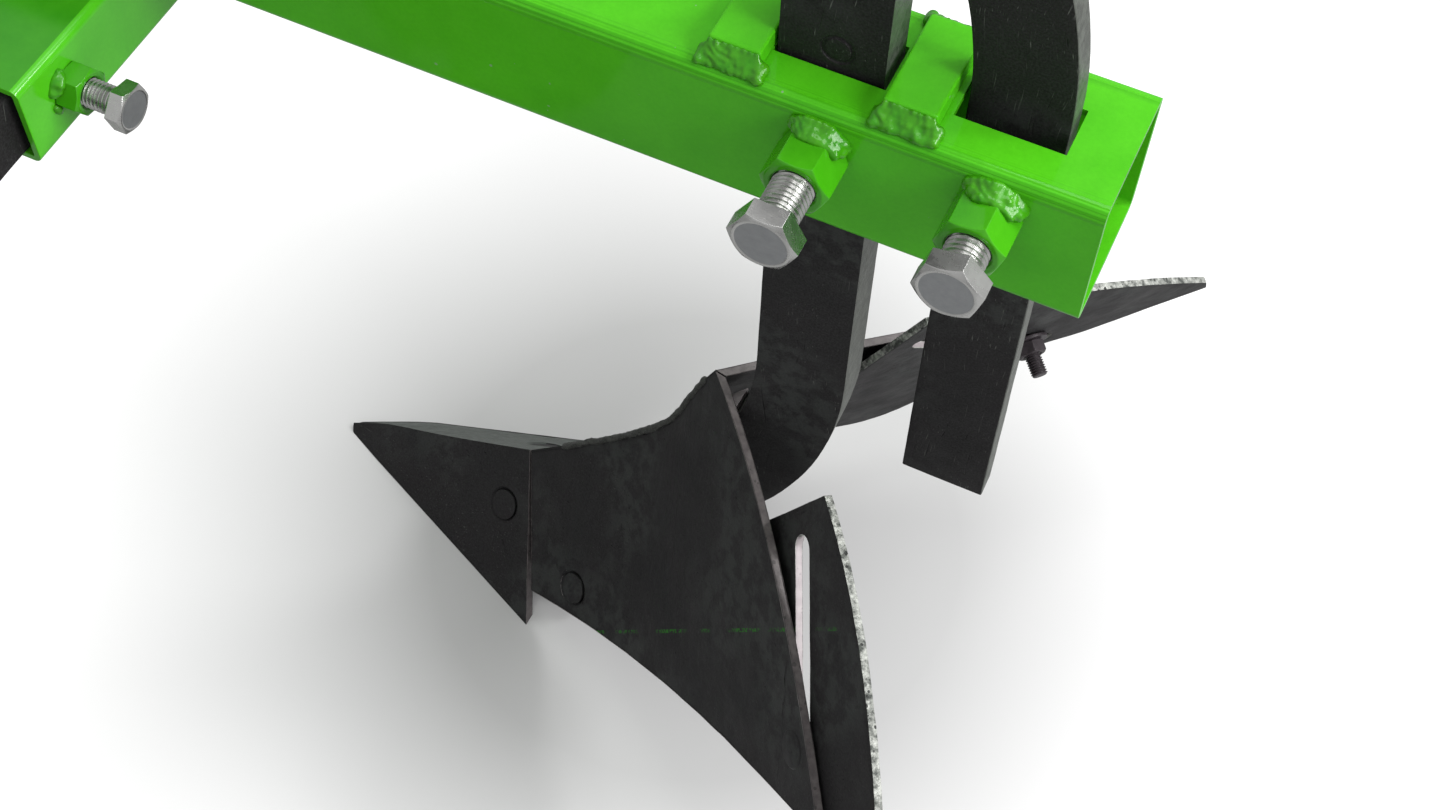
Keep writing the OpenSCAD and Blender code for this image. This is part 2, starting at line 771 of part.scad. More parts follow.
module split_pin(s) color(zinc) side(s) at_axle(end_nut_y + end_nut_h - split_pin_d)
    rotate([90, 0, 0]) {
        cylinder(h = big_af + 8, d = split_pin_d, center = true);
        translate([0, 0, big_af / 2 + 5]) cylinder(h = 4, d = 2 * split_pin_d, center = true);
    }

module left_split_pin() split_pin(-1);

module right_split_pin() split_pin(1);

module tyre(s) color("black") side(s) at_axle(wheel_y) rotate_extrude() difference() {
    translate([rim_d / 2, -tyre_w / 2]) square([tyre_t, tyre_w]);
    for (y = [-1, 1])
        translate([wheel_d / 2, y * tyre_w / 2]) rotate(45) square([8, 8], center = true);
}

module left_tyre() tyre(-1);

module right_tyre() tyre(1);

module rim(s) color("gray") side(s) at_axle(wheel_y) rotate_extrude() {
    translate([rim_d / 2 - rim_wall, -tyre_w / 2]) square([rim_wall, tyre_w]);
    translate([hub_d / 2 - 1, -disc_t / 2]) square([rim_d / 2 - hub_d / 2 - rim_wall + 2, disc_t]);
    translate([axle_d / 2 + run_gap + bush_wall, -hub_l / 2])
        square([(hub_d - axle_d) / 2 - run_gap - bush_wall, hub_l]);
}

module left_rim() rim(-1);

module right_rim() rim(1);

module bush(s) color("tan") side(s) at_axle(wheel_y - hub_l / 2)
    ring(axle_d + 2 * run_gap + 2 * bush_wall, axle_d + 2 * run_gap, hub_l);

module left_bush() bush(-1);

module right_bush() bush(1);

main_beam();
hitch_lugs();
front_pad();
rear_pad();
pad_welds();
crossbar();
crossbar_welds();
shank_nut();
stake_nut();
left_arm_nut();
right_arm_nut();
nut_welds();
shank_clamp_bolt();
stake_clamp_bolt();
left_arm_clamp_bolt();
right_arm_clamp_bolt();
ridger_shank();
body_frog();
apex_gusset();
share();
left_mouldboard();
right_mouldboard();
ridge_weld();
share_bolts();
share_nuts();
left_wing_bolt();
right_wing_bolt();
left_wing_washer();
right_wing_washer();
left_wing_nut();
right_wing_nut();
left_wing();
right_wing();
depth_stake();
left_arm();
right_arm();
left_axle();
right_axle();
left_axle_nut();
right_axle_nut();
left_wheel_washers();
right_wheel_washers();
left_end_nut();
right_end_nut();
left_split_pin();
right_split_pin();
left_tyre();
right_tyre();
left_rim();
right_rim();
left_bush();
right_bush();
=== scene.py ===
import json
from math import atan2, cos, pi, radians, sin, tau

import bmesh
import bpy
from mathutils import Matrix, Vector, noise
from mathutils.bvhtree import BVHTree


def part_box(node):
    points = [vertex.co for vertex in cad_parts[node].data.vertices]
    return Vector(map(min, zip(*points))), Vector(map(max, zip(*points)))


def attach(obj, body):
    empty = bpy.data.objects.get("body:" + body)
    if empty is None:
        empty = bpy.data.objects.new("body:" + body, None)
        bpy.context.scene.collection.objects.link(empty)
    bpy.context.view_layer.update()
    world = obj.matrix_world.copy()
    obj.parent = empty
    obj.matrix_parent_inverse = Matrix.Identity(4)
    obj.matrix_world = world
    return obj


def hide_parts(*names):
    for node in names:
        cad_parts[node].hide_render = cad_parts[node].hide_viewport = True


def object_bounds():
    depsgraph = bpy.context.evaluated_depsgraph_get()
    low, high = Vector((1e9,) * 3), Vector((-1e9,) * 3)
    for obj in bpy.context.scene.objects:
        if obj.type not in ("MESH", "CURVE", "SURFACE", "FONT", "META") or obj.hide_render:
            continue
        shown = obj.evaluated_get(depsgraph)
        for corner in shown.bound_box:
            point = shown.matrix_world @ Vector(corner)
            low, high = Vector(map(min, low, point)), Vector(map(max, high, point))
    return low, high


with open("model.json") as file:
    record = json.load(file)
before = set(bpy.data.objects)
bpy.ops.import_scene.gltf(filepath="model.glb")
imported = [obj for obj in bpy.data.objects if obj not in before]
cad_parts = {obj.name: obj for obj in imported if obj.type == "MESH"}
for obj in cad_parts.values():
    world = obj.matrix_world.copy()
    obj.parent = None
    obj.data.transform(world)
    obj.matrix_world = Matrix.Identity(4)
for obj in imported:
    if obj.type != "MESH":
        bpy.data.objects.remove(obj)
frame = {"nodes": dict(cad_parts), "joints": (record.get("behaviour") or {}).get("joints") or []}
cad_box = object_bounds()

noise.seed_set(3)

MM = 0.001
X, Y, Z = Vector((1, 0, 0)), Vector((0, 1, 0)), Vector((0, 0, 1))
SIDES = (("left", -1), ("right", 1))

# Camera, as worked out from the photograph, in the frame of the part
CAMERA_PLACE = (0.8539, -0.4719, 0.5546)
CAMERA_TURN = (33.507, -1.336, 25.072)
LENS_MM = 51.70
SENSOR_MM = 36.0

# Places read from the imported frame
beam_low, beam_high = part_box("main_beam")
cross_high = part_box("crossbar")[1]
share_low, share_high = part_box("share")
shank_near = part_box("ridger_shank")[0][1]
ground = cad_box[0][2]
beam_top = beam_high[2]
beam_near = beam_low[1]
cross_rear = cross_high[0]

# The ring in the shank (X and Z), and the plane of the row of paint spots (normal, distance along it)
SHANK_MARK = (0.695, 0.039)
PAINT_ROW = (0.398, -0.795, -0.458)
PAINT_ROW_AT = 0.461

# Screws: diameter, pitch and width across the flats
BIG_SCREW = (16 * MM, 2 * MM, 23 * MM)
SMALL_SCREW = (12 * MM, 1.75 * MM, 18 * MM)
WING_SCREW = (8 * MM, 1.25 * MM, 13 * MM)
THREAD_DEPTH = 0.6

# Edges that close together are merged, and tools reach past what they cut
MERGE = 0.005 * MM
PAST = MM


def middle(node):
    """Centre of a node's box."""
    low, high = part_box(node)
    return (Vector(low) + Vector(high)) / 2


def srgb(red, green, blue):
    """Linear colour of a screen colour given from 0 to 255."""
    def linear(value):
        value /= 255
        return value / 12.92 if value <= 0.04045 else ((value + 0.055) / 1.055) ** 2.4
    return (linear(red), linear(green), linear(blue), 1)


# Camera
def set_camera():
    data = bpy.data.cameras.new("camera")
    data.lens = LENS_MM
    data.sensor_width = SENSOR_MM
    data.clip_start = 0.01
    camera = bpy.data.objects.new("camera", data)
    camera.location = CAMERA_PLACE
    camera.rotation_euler = [radians(a) for a in CAMERA_TURN]
    bpy.context.scene.collection.objects.link(camera)
    bpy.context.scene.camera = camera


set_camera()


# Node groups
def new_group(name, **numbers):
    """Shader node group from a place and some numbers to a mask, with its input and output nodes."""
    tree = bpy.data.node_groups.new(name, "ShaderNodeTree")
    tree.interface.new_socket(name="Place", in_out="INPUT", socket_type="NodeSocketVector")
    for label, value in numbers.items():
        socket = tree.interface.new_socket(name=label, in_out="INPUT", socket_type="NodeSocketFloat")
        socket.default_value = value
    tree.interface.new_socket(name="Mask", in_out="OUTPUT", socket_type="NodeSocketFloat")
    return tree, tree.nodes.new("NodeGroupInput"), tree.nodes.new("NodeGroupOutput")


def add_node(tree, kind, links=(), **settings):
    """Adds a node with these properties; links pair an input's index or name with a value or socket."""
    node = tree.nodes.new(kind)
    for key, value in settings.items():
        setattr(node, key, value)
    for key, value in dict(links).items():
        if isinstance(value, bpy.types.NodeSocket):
            tree.links.new(value, node.inputs[key])
        else:
            node.inputs[key].default_value = value
    return node


def math_node(tree, operation, first, second=0.0, clamp=False):
    node = add_node(tree, "ShaderNodeMath", {0: first, 1: second}, operation=operation, use_clamp=clamp)
    return node.outputs[0]


def vector_node(tree, operation, vector, other):
    """Vector maths with a second vector, or with a factor when the operation is SCALE."""
    key = "Scale" if operation == "SCALE" else 1
    return add_node(tree, "ShaderNodeVectorMath", {0: vector, key: other}, operation=operation).outputs[0]


def noise_node(tree, place, scale, detail):
    return add_node(tree, "ShaderNodeTexNoise", {"Vector": place, "Scale": scale, "Detail": detail})


def stretch(tree, value, low, high):
    """Value from 0 at low to 1 at high, kept between them."""
    links = {"Value": value, "From Min": low, "From Max": high}
    return add_node(tree, "ShaderNodeMapRange", links).outputs[0]


def cloud_group():
    """Soft patches: 0 to 1, with the patch size in metres."""
    tree, source, sink = new_group("soft patches", Size=0.03, Detail=4.0, Contrast=2.0)
    scale = math_node(tree, "DIVIDE", 1.0, source.outputs["Size"])
    cloud = add_node(tree, "ShaderNodeTexNoise",
                     {"Vector": source.outputs["Place"], "Scale": scale, "Detail": source.outputs["Detail"],
                      "Roughness": 0.6})
    centred = math_node(tree, "SUBTRACT", cloud.outputs[0], 0.5)
    spread = math_node(tree, "MULTIPLY", centred, source.outputs["Contrast"])
    tree.links.new(math_node(tree, "ADD", spread, 0.5, clamp=True), sink.inputs["Mask"])
    return tree


def speck_group():
    """Small round specks of a given size and cell, where a slow noise lets them be."""
    tree, source, sink = new_group("specks", Cell=0.01, Share=0.2, Gathering=0.5)
    wobble = noise_node(tree, source.outputs["Place"], 900.0, 2.0)
    shift = vector_node(tree, "SCALE", wobble.outputs["Color"], 0.7 * MM)
    place = vector_node(tree, "ADD", source.outputs["Place"], shift)
    scale = math_node(tree, "DIVIDE", 1.0, source.outputs["Cell"])
    cells = add_node(tree, "ShaderNodeTexVoronoi", {"Vector": place, "Scale": scale})
    pick = add_node(tree, "ShaderNodeSeparateColor", {0: cells.outputs["Color"]})
    radius = math_node(tree, "MULTIPLY", pick.outputs[0], source.outputs["Share"])
    slow = noise_node(tree, source.outputs["Place"], 18.0, 1.0)
    let = stretch(tree, slow.outputs[0], source.outputs["Gathering"], 0.75)
    reach = math_node(tree, "MULTIPLY", radius, let)
    near = math_node(tree, "LESS_THAN", cells.outputs["Distance"], reach)
    tree.links.new(near, sink.inputs["Mask"])
    return tree


def scratch_group():
    """Thin streaks along one way: the pattern is drawn out along X of the place it is given."""
    tree, source, sink = new_group("scratches", Width=0.0004, Length=0.03, Share=0.1)
    bend = noise_node(tree, source.outputs["Place"], 25.0, 0.0)
    sway = vector_node(tree, "SCALE", bend.outputs["Color"], 12 * MM)
    moved = vector_node(tree, "ADD", source.outputs["Place"], sway)
    along = math_node(tree, "DIVIDE", 1.0, source.outputs["Length"])
    across = math_node(tree, "DIVIDE", 1.0, source.outputs["Width"])
    factors = add_node(tree, "ShaderNodeCombineXYZ", {0: along, 1: across, 2: across})
    drawn = vector_node(tree, "MULTIPLY", moved, factors.outputs[0])
    lines = noise_node(tree, drawn, 1.0, 1.0)
    low = math_node(tree, "SUBTRACT", 0.78, source.outputs["Share"])
    tree.links.new(stretch(tree, lines.outputs[0], low, 0.8), sink.inputs["Mask"])
    return tree


CLOUD = cloud_group()
SPECK = speck_group()
SCRATCH = scratch_group()


class Finish:
    """One material: a Principled shader, and short calls that add to its colour, roughness and bump."""

    def __init__(self, name, colour, roughness, metallic=0.0, coat=0.0, coat_roughness=0.1, turn=(0, 0, 0)):
        self.material = bpy.data.materials.new(name)
        self.material.use_nodes = True
        self.tree = self.material.node_tree
        self.tree.nodes.clear()
        self.shader = add_node(self.tree, "ShaderNodeBsdfPrincipled")
        output = add_node(self.tree, "ShaderNodeOutputMaterial")
        self.tree.links.new(self.shader.outputs[0], output.inputs[0])
        place = add_node(self.tree, "ShaderNodeTexCoord").outputs["Object"]
        self.place = add_node(self.tree, "ShaderNodeMapping",
                              {"Vector": place, "Rotation": [radians(a) for a in turn]}).outputs[0]
        self.colour = colour
        self.roughness = roughness
        self.height = None
        self.shader.inputs["Metallic"].default_value = metallic
        self.shader.inputs["Coat Weight"].default_value = coat
        self.shader.inputs["Coat Roughness"].default_value = coat_roughness

    def group(self, tree, **values):
        node = add_node(self.tree, "ShaderNodeGroup", node_tree=tree)
        self.tree.links.new(self.place, node.inputs["Place"])
        for key, value in values.items():
            node.inputs[key].default_value = value
        return node.outputs["Mask"]

    def patches(self, size, contrast=2.0, detail=4.0):
        return self.group(CLOUD, Size=size, Contrast=contrast, Detail=detail)

    def specks(self, cell, share=0.3, gathering=0.5):
        return self.group(SPECK, Cell=cell, Share=share, Gathering=gathering)

    def scratches(self, width, length, share=0.1):
        return self.group(SCRATCH, Width=width, Length=length, Share=share)

    def times(self, mask, factor):
        return math_node(self.tree, "MULTIPLY", mask, factor)

    def tint(self, mask, colour, amount=None):
        """Mixes a colour in where the mask is 1, to the given amount."""
        if amount is not None:
            mask = self.times(mask, amount)
        mix = add_node(self.tree, "ShaderNodeMix", {"Factor": mask}, data_type="RGBA")
        for key, value in ((6, self.colour), (7, colour)):
            if isinstance(value, bpy.types.NodeSocket):
                self.tree.links.new(value, mix.inputs[key])
            else:
                mix.inputs[key].default_value = value
        self.colour = mix.outputs[2]

    def dull(self, mask, roughness):
        """Mixes a roughness in where the mask is 1."""
        mix = add_node(self.tree, "ShaderNodeMix", {"Factor": mask, 2: self.roughness, 3: roughness})
        self.roughness = mix.outputs[0]

    def raise_by(self, mask, depth):
        """Adds to the bump height, in metres."""
        step = self.times(mask, depth)
        self.height = step if self.height is None else math_node(self.tree, "ADD", self.height, step)

    def done(self):
        for key, value in (("Base Color", self.colour), ("Roughness", self.roughness)):
            if isinstance(value, bpy.types.NodeSocket):
                self.tree.links.new(value, self.shader.inputs[key])
            else:
                self.shader.inputs[key].default_value = value
        if self.height is not None:
            bump = add_node(self.tree, "ShaderNodeBump",
                            {"Height": self.height, "Strength": 1.0, "Distance": 1.0})
            self.tree.links.new(bump.outputs[0], self.shader.inputs["Normal"])
        return self.material


# Materials
GREEN = srgb(78, 190, 22)
GREEN_DEEP = srgb(40, 128, 6)
GREEN_PALE = srgb(104, 208, 46)
DUST = srgb(150, 160, 150)


def paint(name, colour=GREEN, gloss=0.3, peel=0.00002, deep=0.35, coat=0.3, coat_roughness=0.06,
          roll_lines=False):
    """Glossy green enamel, with orange peel, soft changes of tone and a few specks."""
    finish = Finish(name, colour, gloss, coat=coat, coat_roughness=coat_roughness)
    finish.shader.inputs["Specular IOR Level"].default_value = 0.06
    finish.tint(finish.patches(0.06, 2.4), GREEN_DEEP, deep)
    finish.tint(finish.patches(0.017, 2.0), GREEN_PALE, 0.2)
    finish.tint(finish.patches(0.0016, 2.5, 2.0), GREEN_DEEP, 0.12)
    finish.tint(finish.specks(0.006, 0.22, 0.52), DUST, 0.55)
    finish.dull(finish.times(finish.patches(0.03, 2.0), 0.5), 0.42)
    finish.raise_by(finish.patches(0.0016, 1.4, 2.0), peel)
    finish.raise_by(finish.patches(0.012, 1.2, 1.0), peel * 4)
    if roll_lines:
        add_roll_lines(finish)
    return finish.done()


def add_roll_lines(finish):
    """Long drawn lines beside the top corners of a tube that runs along X: raised in the bump, with painted
    shade darkening the green along them.
    """
    tree = finish.tree
    part = add_node(tree, "ShaderNodeSeparateXYZ", {0: finish.place})
    drawn = vector_node(tree, "MULTIPLY", finish.place, (0.4, 600.0, 600.0))
    lines = noise_node(tree, drawn, 1.0, 2.0)
    across = math_node(tree, "ABSOLUTE", part.outputs[1])
    over = finish.times(stretch(tree, across, beam_high[1] - 0.0075, beam_high[1] - 0.005),
                        stretch(tree, part.outputs[2], beam_top - 0.0065, beam_top - 0.0045))
    finish.raise_by(finish.times(stretch(tree, lines.outputs[0], 0.35, 0.65), over), 0.0003)
    # Darker green on the lines: painted shade along the raised lines
    finish.tint(finish.times(stretch(tree, lines.outputs[0], 0.5, 0.6), over), GREEN_DEEP, 0.4)


def painted_weld():
    finish = Finish("painted weld", srgb(66, 150, 14), 0.3, coat=0.4, coat_roughness=0.08)
    finish.shader.inputs["Specular IOR Level"].default_value = 0.2
    finish.tint(finish.patches(0.006, 3.0), GREEN_DEEP, 0.7)
    finish.tint(finish.specks(0.009, 0.16, 0.5), srgb(14, 26, 10), 0.9)
    wave = add_node(finish.tree, "ShaderNodeTexWave",
                    {"Vector": finish.place, "Scale": 60.0, "Distortion": 12.0, "Detail": 0.0,
                     "Detail Scale": 2.0},
                    wave_type="BANDS", bands_direction="DIAGONAL")
    finish.raise_by(wave.outputs["Fac"], 0.0002)
    finish.raise_by(finish.patches(0.005, 3.0, 0.0), 0.0006)
    return finish.done()


STEEL_BLACK = srgb(36, 36, 37)
STEEL_DARK = srgb(19, 19, 21)
STEEL_GREY = srgb(52, 52, 53)
STEEL_PALE = srgb(128, 132, 126)
STEEL_BROWN = srgb(50, 42, 44)


def black_steel(name, colour=STEEL_BLACK, turn=(0, 0, 0), brown=0.3, wear=0.5, scuffs=0.3, spotted=False):
    """Dark scaled steel: mottled, with fine grain, pits, dents, cloudy scuffs and pale scratches."""
    finish = Finish(name, colour, 0.45, turn=turn)
    finish.shader.inputs["Specular IOR Level"].default_value = 0.14
    finish.tint(finish.patches(0.06, 2.4), STEEL_DARK, 0.45)
    finish.tint(finish.patches(0.03, 2.4), STEEL_BROWN, brown)
    finish.tint(finish.patches(0.0009, 3.6, 3.0), STEEL_GREY, 0.55)
    cloudy = finish.times(finish.patches(0.009, 8.0, 5.0), finish.patches(0.09, 8.0, 1.0))
    finish.tint(cloudy, srgb(80, 85, 82), scuffs * 0.8)
    spots = finish.specks(0.03, 0.2, 0.5)
    finish.tint(spots, STEEL_PALE, 0.25 * wear)
    streaks = finish.times(finish.scratches(0.0005, 0.02, 0.1), finish.patches(0.03, 6.0))
    finish.tint(streaks, STEEL_PALE, 0.6 * wear)
    lines = finish.times(finish.scratches(0.0013, 0.05, 0.1), finish.patches(0.05, 6.0))
    finish.tint(lines, srgb(8, 8, 9), 0.8)
    finish.dull(finish.patches(0.02, 3.0), 0.6)
    finish.raise_by(finish.patches(0.0009, 2.0, 3.0), 0.00003)
    finish.raise_by(finish.patches(0.008, 2.4, 2.0), 0.00012)
    finish.raise_by(lines, -0.0002)
    finish.raise_by(spots, -0.0002)
    if spotted:
        add_paint_spots(finish)
    return finish.done()


def add_paint_spots(finish):
    """A thin row of small spots of green paint across the left board and wing."""
    tree = finish.tree
    across = add_node(tree, "ShaderNodeVectorMath", {0: finish.place, 1: PAINT_ROW}, operation="DOT_PRODUCT")
    off = math_node(tree, "ABSOLUTE", math_node(tree, "SUBTRACT", across.outputs["Value"], PAINT_ROW_AT))
    half_width = 0.8 * MM
    row = math_node(tree, "LESS_THAN", off, half_width)
    spots = finish.times(finish.patches(0.0016, 9.0, 1.0), finish.patches(0.02, 7.0, 1.0))
    finish.tint(finish.times(spots, row), srgb(42, 120, 30), 0.85)


def speckled_finish(name, colour, dark, specks, depth):
    """Speckled plain finish: a cut or sheared edge of a plate, from smooth and pale to burnt and speckled,
    and also a painted shade in a gap and a painted sheen on a face.
    """
    finish = Finish(name, colour, 0.45, metallic=0.2)
    finish.tint(finish.patches(0.004, 4.0, 3.0), dark, specks)
    finish.tint(finish.specks(0.0035, 0.45, 0.3), srgb(40, 42, 40), specks)
    finish.raise_by(finish.patches(0.0016, 3.0, 3.0), depth)
    return finish.done()


def zinc(name, colour=srgb(206, 206, 204), rough=0.22, turn=(0, 0, 0)):
    """Bright plated steel with fine brushing and small dull patches."""
    finish = Finish(name, colour, rough, metallic=1.0, turn=turn)
    finish.tint(finish.patches(0.009, 2.4), srgb(150, 150, 150), 0.3)
    finish.tint(finish.scratches(0.0003, 0.012, 0.2), srgb(214, 214, 212), 0.5)
    finish.dull(finish.patches(0.006, 2.0), rough + 0.1)
    finish.raise_by(finish.scratches(0.0003, 0.012, 0.25), 0.00001)
    return finish.done()


def head_face():
    """Forged face of a bolt's head: dull grey, with fine grain."""
    finish = Finish("bolt head face", srgb(158, 160, 162), 0.34, metallic=0.9)
    finish.tint(finish.patches(0.004, 2.5), srgb(128, 130, 132), 0.35)
    finish.tint(finish.scratches(0.0003, 0.006, 0.1), srgb(180, 180, 180), 0.5)
    finish.raise_by(finish.patches(0.0005, 2.0, 2.0), 0.00003)
    return finish.done()


def rubber():
    finish = Finish("tyre rubber", srgb(32, 32, 33), 0.74)
    finish.shader.inputs["Specular IOR Level"].default_value = 0.3
    finish.tint(finish.patches(0.03, 2.5), srgb(54, 52, 50), 0.35)
    finish.raise_by(finish.patches(0.0008, 2.0, 3.0), 0.00003)
    return finish.done()


def wheel_paint():
    finish = Finish("wheel paint", srgb(86, 89, 92), 0.38, coat=0.15)
    finish.tint(finish.patches(0.02, 2.5), srgb(70, 72, 75), 0.3)
    finish.tint(finish.specks(0.007, 0.3, 0.5), srgb(130, 130, 126), 0.5)
    finish.raise_by(finish.patches(0.0016, 1.5, 2.0), 0.00002)
    return finish.done()


def bronze():
    finish = Finish("bronze bush", srgb(170, 128, 70), 0.34, metallic=1.0)
    finish.tint(finish.patches(0.008, 3.0), srgb(120, 86, 46), 0.5)
    finish.raise_by(finish.patches(0.001, 2.0, 2.0), 0.00002)
    return finish.done()


PAINT = paint("green enamel")
PAINT_BEAM = paint("green enamel on the beam", roll_lines=True)
PAINT_RIM = paint("green enamel on cut ends", deep=1.0)
PAINT_NUT = paint("green enamel on nuts", srgb(62, 156, 14), 0.2, 0.00004, deep=0.9, coat=0.6)
PAINT_BAR = paint("green enamel on the crossbar", coat=0.9, coat_roughness=0.16)
# Darker copy of the crossbar's paint for its top face: painted shade of the beam
PAINT_BAR_TOP_SHADED = paint("green enamel on the crossbar top, painted shade", srgb(44, 138, 6), deep=0.6, coat=0.9,
                      coat_roughness=0.16)
PAINT_WELD = painted_weld()
BLACK = black_steel("black scaled steel")
BLACK_PLATE = black_steel("black plate", spotted=True)
BLACK_BAR = black_steel("black flat bar", srgb(27, 27, 27), (0, 90, 0), brown=0.2, wear=0.8)
# Nearly black: painted shade in the groove round the plough bolts' heads and on the wing bolts' head rims
PAINTED_GAP_SHADE = speckled_finish("painted shade in the gap", srgb(10, 10, 11), srgb(6, 6, 7), 0.5, 0.00003)
BURNT_EDGE = speckled_finish("burnt edge", srgb(190, 192, 186), srgb(62, 66, 62), 0.95, 0.0005)
SHEARED_EDGE = speckled_finish("sheared edge", srgb(112, 106, 106), srgb(64, 60, 60), 0.5, 0.00005)
SLOT_WALL = speckled_finish("slot wall", srgb(168, 160, 162), srgb(132, 124, 126), 0.3, 0.00003)
SCRAPED_EDGE = speckled_finish("scraped bar edge", srgb(88, 92, 86), srgb(48, 50, 47), 0.6, 0.0001)
# Paler grey-green: painted sheen on the share's far face, seen at a grazing angle
SHARE_FAR_SHEEN = speckled_finish("painted sheen on the share's far face", srgb(92, 99, 94), srgb(60, 65, 62), 0.7, 0.0001)
GROUND_WELD = speckled_finish("ground weld", srgb(66, 68, 64), srgb(34, 35, 34), 0.6, 0.0003)
ZINC = zinc("zinc plate")
ZINC_THREAD = zinc("zinc thread", srgb(200, 200, 198), 0.22)
HEAD_FACE = head_face()
DARK_BOLT = speckled_finish("dark bolt steel", srgb(62, 56, 60), srgb(34, 30, 33), 0.5, 0.00004)
RUBBER = rubber()
WHEEL_PAINT = wheel_paint()
BRONZE = bronze()


# Bench tools
def deselect():
    bpy.ops.object.select_all(action="DESELECT")


def alone(piece):
    """Leaves only this piece selected and active, in object mode."""
    if bpy.context.object and bpy.context.object.mode != "OBJECT":
        bpy.ops.object.mode_set(mode="OBJECT")
    deselect()
    piece.select_set(True)
    bpy.context.view_layer.objects.active = piece


def open_mesh(piece, select="SELECT"):
    alone(piece)
    bpy.ops.object.mode_set(mode="EDIT")
    bpy.ops.mesh.select_mode(type="VERT")
    bpy.ops.mesh.select_all(action=select)


def close_mesh():
    bpy.ops.object.mode_set(mode="OBJECT")


def finish_modifier(piece, kind, **settings):
    """Adds a modifier, sets it and applies it."""
    alone(piece)
    bpy.ops.object.modifier_add(type=kind)
    modifier = piece.modifiers[-1]
    for key, value in settings.items():
        setattr(modifier, key, value)
    bpy.ops.object.modifier_apply(modifier=modifier.name)


def settle(piece):
    """Puts the piece's place, turn and scale into its mesh."""
    alone(piece)
    bpy.ops.object.transform_apply(location=True, rotation=True, scale=True)


def coat(piece, *materials):
    piece.data.materials.clear()
    for material in materials:
        piece.data.materials.append(material)


def smooth(piece, angle=32):
    alone(piece)
    bpy.ops.object.shade_smooth_by_angle(angle=radians(angle))


def bench_copy(node, name):
    """Copy of a node's mesh, with its loose triangles merged and its flat faces whole."""
    mesh = frame["nodes"][node].data.copy()
    piece = bpy.data.objects.new(name, mesh)
    bpy.context.scene.collection.objects.link(piece)
    alone(piece)
    bpy.ops.mesh.customdata_custom_splitnormals_clear()
    open_mesh(piece)
    bpy.ops.mesh.remove_doubles(threshold=0.002 * MM)
    bpy.ops.mesh.dissolve_limited(angle_limit=radians(0.2))
    close_mesh()
    mesh.materials.clear()
    for polygon in mesh.polygons:
        polygon.material_index = 0
    return piece


def soften(piece, width, rounds=2, angle=28, material=-1):
    """Rounds the sharp edges."""
    finish_modifier(piece, "BEVEL", width=width, segments=rounds, limit_method="ANGLE",
                    angle_limit=radians(angle), use_clamp_overlap=True, material=material)


def refine(piece, longest, rounds=5):
    """Cuts edges longer than the given length in half, again and again."""
    finish_modifier(piece, "TRIANGULATE")
    for _ in range(rounds):
        open_mesh(piece, "DESELECT")
        cage = bmesh.from_edit_mesh(piece.data)
        bpy.ops.mesh.select_mode(type="EDGE")
        long_edges = [edge for edge in cage.edges if edge.calc_length() > longest]
        for edge in long_edges:
            edge.select = True
        bmesh.update_edit_mesh(piece.data)
        if long_edges:
            bpy.ops.mesh.subdivide(number_cuts=1)
            bpy.ops.mesh.quads_convert_to_tris()
        close_mesh()
        if not long_edges:
            break


def dent(piece, depth, size, shift):
    """Lets the surface sink here and there by a slow noise, never past its old place."""
    cloud = bpy.data.textures.new(piece.name + " dents", "CLOUDS")
    cloud.noise_scale = size
    cloud.noise_depth = 2
    piece.location = (shift, shift, shift)
    finish_modifier(piece, "DISPLACE", texture=cloud, texture_coords="GLOBAL", strength=depth, mid_level=1.0)
    piece.location = (0, 0, 0)


def release(piece, body, slot, *nodes):
    """Gives the piece to its body and hides the nodes it stands for; the slot is not used."""
    alone(piece)
    deselect()
    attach(piece, body)
    if nodes:
        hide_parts(*nodes)


def mark_rim(piece, thickness):
    """Gives a plate's rim its second material, and the walls of its slots the third.

    A rim face has more plate behind it than the plate is thick. A slot's wall also looks at another wall."""
    mesh = piece.data
    tree = BVHTree.FromPolygons([v.co for v in mesh.vertices], [p.vertices for p in mesh.polygons])
    step = 0.02 * MM
    widest_slot = 16 * MM
    for polygon in mesh.polygons:
        behind = tree.ray_cast(polygon.center - polygon.normal * step, -polygon.normal)[3] or 0
        if behind < 1.8 * thickness:
            continue
        ahead = tree.ray_cast(polygon.center + polygon.normal * step, polygon.normal, widest_slot)[0]
        polygon.material_index = 2 if ahead is not None else 1


# Nodes kept in their own shape, with rounded edges and a worked surface
def dressed(node, body, slot, materials, edge, rounds=2, longest=None, dents=None, rim=None, shape=None,
            rim_finish=-1):
    """Finished copy of a node: shaped, with rounded edges, and with its plate's rim marked if it has one.

    Lengths are in millimetres. Dents are a depth, a size and a shift of the noise, and need edges no longer
    than longest."""
    piece = bench_copy(node, node + "_finished")
    coat(piece, *materials)
    if shape:
        shape(piece)
    soften(piece, edge * MM, rounds, material=rim_finish)
    if rim:
        mark_rim(piece, rim * MM)
    if longest:
        refine(piece, longest * MM)
    if dents:
        dent(piece, dents[0] * MM, dents[1] * MM, dents[2])
    smooth(piece)
    if not longest:
        finish_modifier(piece, "WEIGHTED_NORMAL", keep_sharp=True, weight=80)
    release(piece, body, slot, node)
    return piece


def stamp_ring(piece):
    """Presses the round mark into the shank's near face, above the beam."""
    deselect()
    place = (SHANK_MARK[0], shank_near - 0.05 * MM, SHANK_MARK[1])
    bpy.ops.mesh.primitive_torus_add(major_segments=48, minor_segments=10, major_radius=5.6 * MM,
                                     minor_radius=0.8 * MM, location=place, rotation=(pi / 2, 0, 0))
    die = bpy.context.object
    settle(die)
    cut_with(piece, die, "DIFFERENCE")


